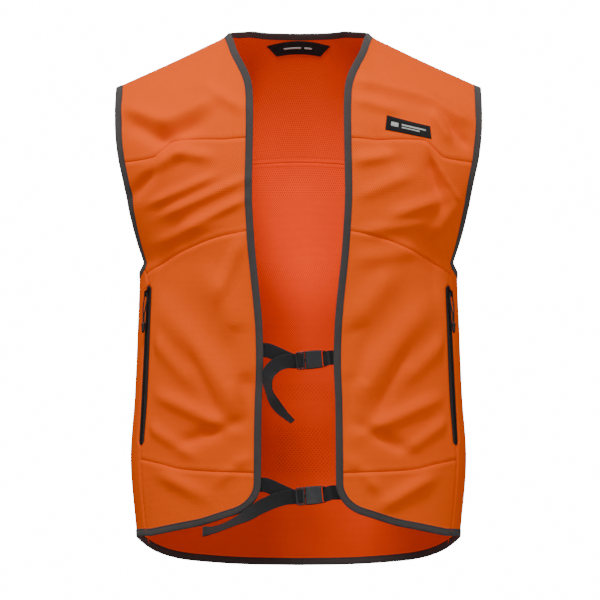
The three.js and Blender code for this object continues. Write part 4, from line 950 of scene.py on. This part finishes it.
# %% [markdown]
# ## The fronts and the sides
# Each front is cut in four: a yoke over the shoulder, a chest piece, a long lower piece that holds the
# pocket and a hem piece with a rounded corner. The side panel joins them to the back, and the zip's slit
# lies in its front seam.

# %% Front panels
def hem_level(x, inset=0.0):
    """The hem line, lifted round the corner by radius - sqrt(radius squared - reach squared)."""
    centre = front_edge(front_hem(FRONT_HALF_GAP) + HEM_CORNER) + HEM_CORNER
    radius = HEM_CORNER - inset
    out = np.clip(centre - x, 0, radius)
    return front_hem(x) + inset + radius - np.sqrt(radius ** 2 - out ** 2)


def front_panel(side, part, nu, nv, low, high, sewn, ease=1.0):
    """A front panel between the levels low(u) and high(u). ease above 1 crowds columns to the front edge."""
    u, v = grid_of(nu, nv)
    u = u ** ease
    height = lerp(height_of(low(u)), height_of(high(u)), v)
    level = level_of(height)
    last = rim_angle(level) - beside_zip(np.minimum(level, SHOULDER_START)) * (level < UNDERARM)
    angle = lerp(inner_angle(level), last, u)
    panel(f"{side}_{part}_cloth", SIDE_SIGN[side] * angle, height, knit_orange, [f"{side}_{part}"], sewn)


def hem_x(u):
    """Where each column of the hem panel meets the hem line."""
    inner = angle_of(front_edge(hem_seam(0)), hem_seam(0))
    return half_width(front_hem(FRONT_HALF_GAP)) * np.sin(np.radians(lerp(inner, SIDE_SEAM, u)))


for side in SIDE_SIGN:
    front_panel(side, "front_yoke", 64, 96, yoke_seam, lambda u: RIDGE_LEVEL + 0 * u, ("v0", "v1"))
    front_panel(side, "front_chest_panel", 72, 64, chest_seam, yoke_seam, ("v0", "v1"))
    front_panel(side, "front_lower_panel", 72, 110, hem_seam, chest_seam, ("v0", "v1", "u1"))
    front_panel(side, "front_hem_panel", 72, 40, lambda u: hem_level(hem_x(u) + INSET * 0.7) + INSET,
                hem_seam, ("v1", "u1"), ease=1.5)

# %% Side panels
UNDERARM_DIP = 13.0


def lifted(row, hem):
    """A row raised by the hem: row + hem (1 - row / zip bottom)^1.5 below the zip."""
    return row + hem * np.maximum(0, 1 - row / ZIP_BOTTOM) ** 1.5


def underarm_dip(angle):
    """How far the underarm hangs below its corners: a cosine of the share of the way from the side line."""
    share = np.minimum(np.abs(angle - 90) / (90 - UNDERARM_ANGLE), 1)
    return UNDERARM_DIP * np.cos(math.pi / 2 * share)


for side, sign in SIDE_SIGN.items():
    u, v = grid_of(44, 150)
    share = 1 - 2 * u
    row = v * UNDERARM
    hem = back_hem(90 - share * (90 - SIDE_SEAM))
    level = lifted(row, hem) - underarm_dip(90 - share * (90 - UNDERARM_ANGLE)) * (row / UNDERARM) ** 3
    level = lerp(level, level + np.where(v < .5, INSET, -INSET), np.abs(2 * v - 1) ** 6)
    half = 90 - seam_angle(level)
    angle = 90 - share * half
    angle = angle + beside_zip(level) * (1 - u)
    panel(f"{side}_side_panel_cloth", sign * angle, height_of(level), knit_orange, [f"{side}_side_panel"],
          ("u0", "u1"))

# %% [markdown]
# ## The back
# The back is one wide piece with a dropped hem under a yoke that carries the neck. Low on the back the
# knit has larger vent holes, sunk in its bump and painted dark with painted shade, which fade out at the
# edges of their patch.

# %% Back panels
u, v = grid_of(130, 190)
across = 1 - 2 * u
row = lerp(0, BACK_YOKE_SEAM, v)
hem = back_hem(180 - np.abs(across) * SIDE_SEAM)
level = lifted(row, hem) + INSET * (1 - v) ** 8
height = height_of(level)
angle = 180 - across * rim_angle(level)
x = skin(angle, height)[..., 0]
low_vent = smooth(-45, -25, x) * (1 - smooth(35, 58, x))
low_vent *= smooth(110, 135, level) * (1 - smooth(185, 215, level))
high_vent = smooth(-75, -50, x) * (1 - smooth(50, 75, x))
high_vent *= smooth(226, 236, level) * (1 - smooth(250, 262, level))
vent = np.maximum(low_vent, 0.6 * high_vent)
panel("back_body_cloth", angle, height, knit_inside_shaded, ["back_body"], ("u0", "u1", "v1"), vent)

u, v = grid_of(150, 80)
s = 1 - 2 * u
rim = float(half_width(RIDGE_LEVEL) * np.sin(np.radians(rim_angle(np.array(RIDGE_LEVEL)))))
corner = NECK_HALF_WIDTH / rim
share = np.clip(s / corner, -1, 1)
over = np.clip((np.abs(s) - corner) / (1 - corner), 0, 1)
top_x = np.abs(share) * NECK_HALF_WIDTH
top_height = height_of(back_neck(top_x)) - INSET * (np.abs(share) < 1) * (1 - np.abs(share) ** 6)
low_height = height_of(np.array(BACK_YOKE_SEAM))
height = lerp(low_height, top_height, v)
level = level_of(height)
rim_x = half_width(level) * np.sin(np.radians(rim_angle(level)))
top_share = np.sign(s) * lerp(top_x, rim, over) / rim
angle = 180 - angle_of(rim_x * lerp(s, top_share, v), level)
panel("back_yoke_cloth", angle, height, knit_inside_shaded, ["back_yoke"], ("v0",))

# %% [markdown]
# ## Bindings
# Every free edge is folded into a tape. Its path is a line on the skin; at each step the cross product of
# the outward direction and the line's own direction points into the cloth, and that direction is turned
# back into a small step of angle and height, so the tape's lips lie on the same draped cloth as the panel
# between them.

# %% Binding helper
def respaced_line(angle, height, step, closed=False):
    """A line of angles and heights, respaced evenly by its length on the draped cloth."""
    if closed:
        angle, height = np.append(angle, angle[0]), np.append(height, height[0])
    reach = arc_lengths(lay(angle, height)[:, None], 0)[:, 0]
    at = np.linspace(0, reach[-1], int(reach[-1] / step) + 1)
    wrapped = np.degrees(np.unwrap(np.radians(angle)))
    out = np.interp(at, reach, wrapped), np.interp(at, reach, height)
    return (out[0][:-1], out[1][:-1]) if closed else out


def steps_inward(angle, height, closed, turn):
    """For each place on a line, the change of angle and height that goes one millimetre into the cloth."""
    place = lay(angle, height)
    if closed:
        ahead = unit(np.roll(place, -1, 0) - np.roll(place, 1, 0))
    else:
        ahead = unit(np.gradient(place, axis=0))
    out = outward(angle, height)
    into = turn * unit(np.cross(out, ahead))
    low = np.minimum(height, TOP - 1.0)
    around = (skin(angle + .2, low) - skin(angle - .2, low)) / .4
    up = (skin(angle, low + .4) - skin(angle, low - .4)) / .8
    aa, ah, hh = (around ** 2).sum(-1), (around * up).sum(-1), (up ** 2).sum(-1)
    ra, rh = (around * into).sum(-1), (up * into).sum(-1)
    det = aa * hh - ah ** 2
    return (ra * hh - rh * ah) / det, (rh * aa - ra * ah) / det


# The tape's section, round the outside: share of its width from the fold, height off the cloth's middle.
OUTER = [(1.0, .72), (.985, 1.0), (.93, 1.12), (.86, .98), (.80, .93), (.74, 1.12), (.55, 1.32),
         (.35, 1.4), (.16, 1.42), (.05, 1.25), (-.02, .8)]
SECTION = OUTER + [(-.045, 0)] + [(a, -h) for a, h in OUTER[::-1]]
SECTION += [(.97, -.62), (.6, -.62), (.12, -.62), (.06, 0), (.12, .62), (.6, .62), (.97, .62)]


sewn_lines = []


def binding(name, angle, height, node, turn, closed=False, step=2.4, width=TAPE):
    """A folded tape along a line of the skin: lay(line + share x step inward) plus its section's height.
    turn is 1 or -1 and says on which side of the line the cloth lies."""
    angle, height = respaced_line(np.asarray(angle, float), np.asarray(height, float), step, closed)
    da, dh = steps_inward(angle, height, closed, turn)
    share, rise = np.array(SECTION).T
    a = angle[:, None] + da[:, None] * share[None] * width
    h = np.minimum(height[:, None] + dh[:, None] * share[None] * width, TOP)
    points = lay(a, h) + outward(a, h) * rise[None, :, None]
    run = arc_lengths(lay(angle, height)[:, None], 0)
    round_section = np.hypot(np.diff(share * width, prepend=width), np.diff(rise, prepend=0))
    across = np.append(np.cumsum(round_section), 2.2 * width)
    uv = np.stack(np.broadcast_arrays(run, across[None]), -1) * MM
    if closed:
        uv = np.concatenate([uv, uv[-1:] + [step * MM, 0]])
    piece = grid_mesh(name, points, around=True, closed=closed, caps=not closed, uv=uv)
    if closed:
        normals_outward(piece.data)
    finish_piece(piece, "vest", binding_tape, [node])
    sewn_lines.append((name, angle, height, da, dh))
    print(f"{name}: {run[-1, 0]:.0f} mm of tape")

# %% [markdown]
# ## Where the bindings run
# One tape runs down each front edge, round the corner and along the front hem to the side seam. One goes
# round each armhole, one round the back hem from seam to seam, and one across the back neck between the
# shoulders.

# %% Binding lines
centre_x = float(front_edge(front_hem(FRONT_HALF_GAP) + HEM_CORNER)) + HEM_CORNER
level = np.concatenate([level_of(np.linspace(TOP, SHOULDER_START, 90, endpoint=False)),
                        np.linspace(SHOULDER_START, float(hem_level(centre_x - HEM_CORNER)), 150,
                                    endpoint=False)])
edge = [front_edge(level), level]
turn = np.radians(np.linspace(0, 90, 16))
x = centre_x - HEM_CORNER * np.cos(turn)
edge = np.concatenate([edge, [x, hem_level(x)]], 1)
x = np.linspace(centre_x + 2, float(half_width(50) * math.sin(math.radians(SIDE_SEAM))) - 1, 60)
edge = np.concatenate([edge, [x, front_hem(x)]], 1)
front_line = angle_of(*edge), height_of(edge[1])

level = level_of(np.linspace(float(height_of(UNDERARM)) + 1, TOP, 130))
fore = outer_angle(level)
under = np.linspace(180 - UNDERARM_ANGLE, UNDERARM_ANGLE, 22)[1:-1]
arm_line = (np.concatenate([fore, 180 - fore[::-1], under]),
            np.concatenate([height_of(level), height_of(level)[::-1], UNDERARM - underarm_dip(under)]))

for side, sign in SIDE_SIGN.items():
    binding(f"{side}_front_tape", sign * front_line[0], front_line[1], f"{side}_front_binding", sign)
    binding(f"{side}_armhole_tape", sign * arm_line[0], arm_line[1], f"{side}_armhole_binding", sign,
            closed=True)
angle = np.linspace(SIDE_SEAM, 360 - SIDE_SEAM, 240)
binding("back_hem_tape", angle, back_hem(180 - np.abs(180 - angle)), "back_hem_binding", 1)
share = np.sin(np.linspace(math.pi / 2, -math.pi / 2, 90))
x = share * NECK_HALF_WIDTH
height = height_of(back_neck(np.abs(x)))
binding("back_neck_tape", 180 - angle_of(x, level_of(height)), height, "back_neck_binding", -1)

# %% [markdown]
# ## Stitching
# Seams are topstitched and each tape is sewn on with one row. A stitch is a small bead of thread, long in
# the middle and sunk at both ends. All the stitches of a row are one mesh: the same few dozen points are
# placed at every station.

# %% Stitches
def block_sides(rings, corners):
    """The side faces of a block whose points run ring by ring."""
    i, j = np.meshgrid(np.arange(rings), np.arange(corners), indexing="ij")
    here, there = i * corners, (i + 1) * corners
    j2 = (j + 1) % corners
    return np.stack([here + j, here + j2, there + j2, there + j], -1).reshape(-1, 4)


def stitch_row(name, points, out, material, length=2.3, gap=0.9, radius=0.28):
    """Beads along a line: at each station, ahead length s + (side cos t + out sin t) radius swell(s)."""
    reach = arc_lengths(points[:, None], 0)[:, 0]
    at = np.arange(length / 2, reach[-1] - length / 2, length + gap)
    place = np.stack([np.interp(at, reach, points[:, k]) for k in range(3)], 1)
    out = unit(np.stack([np.interp(at, reach, out[:, k]) for k in range(3)], 1))
    ahead = unit(np.gradient(place, axis=0))
    side = np.cross(out, ahead)
    s = np.array([-.5, -.3, 0, .3, .5])
    t = np.linspace(0, 2 * math.pi, 6, endpoint=False)
    swell = 1 - (2 * np.abs(s)) ** 4 * 0.75
    local = np.stack([np.repeat(s * length, 6), np.outer(swell, np.cos(t)).ravel() * radius,
                      np.outer(swell, np.sin(t)).ravel() * radius], 1)
    basis = np.stack([ahead, side, out], 1)
    verts = place[:, None] + np.einsum("kc,ncd->nkd", local, basis)
    faces = (block_sides(4, 6)[None] + 30 * np.arange(len(place))[:, None, None]).reshape(-1, 4).tolist()
    for cap in ([5, 4, 3, 2, 1, 0], [24, 25, 26, 27, 28, 29]):
        faces += (np.array(cap)[None] + 30 * np.arange(len(place))[:, None]).tolist()
    mesh = bpy.data.meshes.new(name)
    mesh.from_pydata(to_metres(verts.reshape(-1, 3)).tolist(), [], faces)
    normals_outward(mesh)
    shade_smooth(mesh)
    finish_piece(placed_object(name, mesh), "vest", material)


STITCHED_AT = 0.83  # share of the tape's width from its fold
for name, angle, height, da, dh in sewn_lines:
    a, h = angle + da * TAPE * STITCHED_AT, np.minimum(height + dh * TAPE * STITCHED_AT, TOP)
    for face, lift in (("outside", 1.02), ("inside", -1.02)):
        out = outward(a, h)
        stitch_row(f"{name}_stitching_{face}", lay(a, h) + out * lift, out, thread_dark)


def seam_stitches(name, angle, height, lift=0.72):
    """A row of thread along a line of angles and heights on the outside of the cloth."""
    out = outward(angle, height)
    stitch_row(name, lay(angle, height) + out * lift, out, thread_orange, radius=0.24)


t = np.linspace(0.02, 0.98, 160)
for side, sign in SIDE_SIGN.items():
    for part, seam in (("yoke", yoke_seam), ("chest", chest_seam), ("hem", hem_seam)):
        height = height_of(seam(t)) + 5.0
        level = level_of(height)
        angle = lerp(inner_angle(level), rim_angle(level), t)
        seam_stitches(f"{side}_{part}_topstitching", sign * angle, height)
    level = np.linspace(58, UNDERARM - 16, 200)
    for part, sense in (("front", -1), ("side", 1)):
        gap = beside_zip(level) + 4.2 / 3.4
        seam_stitches(f"{side}_zip_topstitching_{part}", sign * (seam_angle(level) + sense * gap), level)
t = np.linspace(-0.97, 0.97, 260)
height = height_of(np.array(BACK_YOKE_SEAM)) + 5.0 + 0 * t
seam_stitches("back_yoke_topstitching_outside", 180 - t * rim_angle(level_of(height)), height)
seam_stitches("back_yoke_topstitching_inside", 180 - t * rim_angle(level_of(height)), height, lift=-0.72)

# %% [markdown]
# ## Zips
# The chain is two rows of moulded teeth on the edges of two woven tapes. The tapes run behind the folded
# edges of the panels. A narrow strip of dark tape behind the chain guards it, and also fills the slit with
# painted shade where the pocket would show through.

# %% Zip tapes and guards
# The tape's section: distance from the chain's middle, and depth under the skin.
TAPE_REACH = np.array([1.0, 2.2, 4.4, 5.6, 7.5, 10.5, 15.0])
TAPE_DEPTH = np.array([-0.55, -0.3, -0.35, -1.2, -1.75, -1.8, -1.8])

for side, sign in SIDE_SIGN.items():
    for part, sense in (("front", -1), ("side", 1)):
        level = np.linspace(ZIP_BOTTOM - 12, ZIP_TOP + 12, 90)
        i, level = np.meshgrid(np.arange(len(TAPE_REACH)), level, indexing="ij")
        reach = TAPE_REACH[i]
        angle = -SIDE_SEAM - sense * reach / degree_at_seam(level)
        ends = smooth(ZIP_BOTTOM - 4, ZIP_BOTTOM - 10, level) + smooth(ZIP_TOP + 4, ZIP_TOP + 10, level)
        drop = np.minimum(TAPE_DEPTH[i], -1.8 * np.clip(ends, 0, 1) - 0.2)
        curved = skin(angle, level) + outward(angle, level) * drop[..., None]
        line = lerp(zip_low, zip_top, ((level - ZIP_BOTTOM) / (ZIP_TOP - ZIP_BOTTOM))[..., None])
        straight = line + zip_out * drop[..., None] + zip_across * (sense * reach)[..., None]
        points = lerp(straight, curved, smooth(4.4, 7.5, reach)[..., None])
        points[..., 0] *= -sign
        piece = grid_mesh(f"{side}_zip_tape_{part}_weave", points, facing=from_body)
        thicken(piece, 0.5)
        finish_piece(piece, "vest", zip_tape, [f"{side}_zip_tape_{part}"])
    # A dark strip of tape behind the chain; in the slit it is painted shade.
    x, z = np.meshgrid(np.linspace(-6, 6, 9), np.linspace(-ZIP_LENGTH - 6, 4, 60), indexing="ij")
    points = from_zip(side, np.stack([x, -3.3 + 0 * x, z], -1))
    guard_and_shade_strip = grid_mesh(f"{side}_zip_guard_and_slit_shade", points, facing=from_body)
    thicken(guard_and_shade_strip, 0.5, centred=False)
    finish_piece(guard_and_shade_strip, "vest", zip_tape)

# %% Zip teeth
TOOTH_PITCH = 1.5
CHAIN = ZIP_LENGTH - 1


def teeth(name, side, sense, node):
    """A row of teeth on a rod: one rounded block, repeated up the zip at the pitch.
    The two rows are offset by about half of the pitch, so that they interlock."""
    xs, ys, zs = np.array([.48, .75, 1.4, 2.4]), np.array([.55, .95, 1.05, .85]), np.array([.42, .5, .42, .5])
    ring = np.array([(-1, -1), (-1, 1), (1, 1), (1, -1)], float)
    block = np.stack([np.repeat(xs, 4) * sense, (ys[:, None] * ring[:, 0]).ravel(),
                      (zs[:, None] * ring[:, 1]).ravel()], 1)
    count = int(CHAIN / TOOTH_PITCH) - 1
    rise = -CHAIN + TOOTH_PITCH * (np.arange(count) + (0.5 if sense > 0 else 0.95))
    points = block[None] + np.array([0, 0, 1.0]) * rise[:, None, None]
    quad = np.concatenate([block_sides(3, 4), [[0, 1, 2, 3], [12, 13, 14, 15]]])
    faces = (quad[None] + 16 * np.arange(count)[:, None, None]).reshape(-1, 4).tolist()
    rod = ((2.05, -.35), (2.05, .35), (2.55, .35), (2.55, -.35))
    base = 16 * count
    ends = np.array([(a * sense, b, z) for z in (-ZIP_LENGTH, -0.4) for a, b in rod])
    points = np.concatenate([points.reshape(-1, 3), ends])
    faces += [[base + k, base + (k + 1) % 4, base + 4 + (k + 1) % 4, base + 4 + k] for k in range(4)]
    faces += [[base, base + 1, base + 2, base + 3], [base + 4, base + 5, base + 6, base + 7]]
    mesh = bpy.data.meshes.new(name)
    mesh.from_pydata(to_metres(from_zip(side, points)).tolist(), [], faces)
    normals_outward(mesh)
    finish_piece(placed_object(name, mesh), "vest", tooth_plastic, [node])


for side in SIDE_SIGN:
    teeth(f"{side}_teeth_front", side, 1, f"{side}_zip_teeth_front")
    teeth(f"{side}_teeth_side", side, -1, f"{side}_zip_teeth_side")

# %% [markdown]
# ## Pocket bags
# Behind each front hangs a bag of finer mesh, sewn to the zip's tape. It follows the front's drape a
# little way behind it, with a few slack ripples of its own.

# %% Pocket bags
for side, sign in SIDE_SIGN.items():
    u, v = grid_of(40, 70)
    angle = lerp(SIDE_SEAM - 29.5, SIDE_SEAM - 7, u)
    level = lerp(ZIP_BOTTOM - 7, ZIP_TOP + 5, v)
    ripple = 0.9 * np.sin(11 * u + 3 * v) * np.sin(6 * v + 2 * u) * 16 * (u * (1 - u)) * (v * (1 - v))
    points = lay(sign * angle, level, -4.2 - ripple)
    piece = grid_mesh(f"{side}_pocket_mesh", points, facing=from_body)
    thicken(piece, 0.5)
    finish_piece(piece, "vest", lining, [f"{side}_pocket_bag"])
    wide = float(arc_lengths(points, 0)[-1].mean()) * MM
    long = float(arc_lengths(points, 1)[:, -1].mean()) * MM

# %% [markdown]
# ## Labels
# A small black woven patch sits on the wearer's left chest and a size label inside the neck. Both are
# left without any lettering: the patch has a stitched frame and three plain bars, and the neck label two.

# %% Labels
def from_inside(points):
    """The direction towards the garment's middle line."""
    return -from_body(points)


def label(name, place, facing, node, bars):
    """A woven patch over a grid on place(x, y, lift), with raised bars.
    Each bar is given as (x0, x1, y0, y1), in shares of the patch's half size."""
    u, v = grid_of(40, 14)
    x, y = u * 2 - 1, v * 2 - 1
    edge = 0.35 * (1 - smooth(0.86, 1.0, np.maximum(np.abs(x), np.abs(y) * 0.94)))
    patch = grid_mesh(name, place(x, y, edge), facing=facing)
    thicken(patch, 0.5, centred=False)
    finish_piece(patch, "vest", label_weave, [node])
    for k, (x0, x1, y0, y1) in enumerate(bars):
        u, v = grid_of(14, 4)
        x, y = lerp(x0, x1, u), lerp(y0, y1, v)
        crown = 0.62 + 0.18 * np.sin(math.pi * v) * np.minimum(1, 8 * u * (1 - u))
        bar = grid_mesh(f"{name}_bar_{k + 1}", place(x, y, crown), facing=facing)
        thicken(bar, 0.3, centred=False)
        finish_piece(bar, "vest", label_thread)


def on_chest(x, y, lift):
    """The chest patch: 64 by 17 mm, its outer end a little slanted, laid on the cloth."""
    level = 604.5 + 8.5 * y
    across = 152.0 + (32.0 - (y + 1)) * x
    return lay(angle_of(across, level), height_of(level), 1.1 + lift)


def in_neck(x, y, lift):
    """The neck label: 90 mm wide at the top and 62 at the bottom, hanging inside the back neck."""
    top = float(back_neck(0.0)) - TAPE * 0.62
    level = top - 12.2 * (1 - y) / 2
    across = x * lerp(31.0, 45.0, (y + 1) / 2)
    return lay(180 - angle_of(across, level), height_of(level), -1.5 - lift)


label("chest_patch", on_chest, from_body, "chest_label",
      [(-.78, -.45, -.3, .3), (-.3, .78, .05, .3), (-.3, .5, -.32, -.12)])
label("neck_patch", in_neck, from_inside, "neck_label", [(-.55, .1, -.15, .1), (.22, .5, -.15, .1)])

# %% [markdown]
# ## Buckles
# The frame's buckles have the right shape but the hard edges of a cut solid. A copy of each is merged,
# its flat faces are joined, and a small bevel rounds the edges, which is what catches the light on
# moulded plastic.

# %% Buckles
def rounded_copy(node, name, radius):
    """A merged copy of a CAD node with rounded edges."""
    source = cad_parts[node]
    mesh = source.data.copy()
    work = bmesh.new()
    work.from_mesh(mesh)
    bmesh.ops.remove_doubles(work, verts=work.verts, dist=1e-6)
    bmesh.ops.dissolve_limit(work, angle_limit=math.radians(1), verts=work.verts, edges=work.edges)
    work.to_mesh(mesh)
    work.free()
    piece = placed_object(name, mesh)
    bevel = piece.modifiers.new("rounded edges", "BEVEL")
    bevel.width = radius * MM
    bevel.segments = 2
    bevel.limit_method = "ANGLE"
    bevel.angle_limit = math.radians(35)
    bevel.use_clamp_overlap = True
    return piece


for name in STRAPS:
    for node, body, radius in (
            ("buckle_plug", f"{name}_plug", 0.4), ("plug_arm_top", f"{name}_arm_top", 0.3),
            ("plug_arm_bottom", f"{name}_arm_bottom", 0.3), ("buckle_socket", "vest", 0.4)):
        piece = rounded_copy(f"{name}_{node}", f"{name}_{node}_moulding", radius)
        finish_piece(piece, body, plastic, [f"{name}_{node}"])

# %% Metal that stays as the frame has it
for side in SIDE_SIGN:
    for node in ("zip_slider", "zip_top_stop", "zip_bottom_stop"):
        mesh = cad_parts[f"{side}_{node}"].data
        mesh.materials.clear()
        mesh.materials.append(enamel)

# %% [markdown]
# ## Studio
# The vest hangs in front of plain white. The main light comes from above and a little in front, so that
# every fold has a lit upper side and a shaded lower one. A weak light on each side keeps the edges
# readable, a low one in front lifts the hems, and one behind lights the back. The surroundings light the
# vest softly, yet show as clean white: the Light Path node lets the world be brighter where it is seen
# directly than where it gives light.

# %% Studio
def softbox(name, place, target, size, power):
    """A square area light at place, turned to face target."""
    data = bpy.data.lights.new(name, "AREA")
    data.size, data.energy = size, power
    lamp = bpy.data.objects.new(name, data)
    bpy.context.collection.objects.link(lamp)
    lamp.location = place
    direction = np.array(target, float) - np.array(place, float)
    lamp.rotation_euler = (math.atan2(math.hypot(direction[0], direction[1]), -direction[2]), 0,
                           math.atan2(direction[1], direction[0]) - math.pi / 2)


CHEST = (0, -0.1, -0.35)
# The lamps: name, place, target, size in metres and power in watts.
softbox("key_above", (-0.4, -1.6, 2.3), CHEST, 0.5, 84)
softbox("key_left", (-2.5, -1.2, 0.3), CHEST, 0.8, 22)
softbox("key_right", (2.5, -1.3, 0.4), CHEST, 0.8, 28)
softbox("front_low", (0.1, -2.9, -1.3), (0, 0, -0.6), 0.8, 18)
softbox("behind", (0, 2.2, 1.6), CHEST, 1.8, 26)
LIGHT_FROM_AROUND = 0.08
SEEN_WHITE = 16.0
world = bpy.data.worlds.new("studio")
bpy.context.scene.world = world
world.use_nodes = True
tree = world.node_tree
background = tree.nodes["Background"]
background.inputs["Color"].default_value = (1, 1, 1, 1)
path = tree.nodes.new("ShaderNodeLightPath")
level = tree.nodes.new("ShaderNodeMath")
level.operation = "MULTIPLY_ADD"
level.inputs[1].default_value = SEEN_WHITE - LIGHT_FROM_AROUND
level.inputs[2].default_value = LIGHT_FROM_AROUND
tree.links.new(path.outputs["Is Camera Ray"], level.inputs[0])
tree.links.new(level.outputs[0], background.inputs["Strength"])
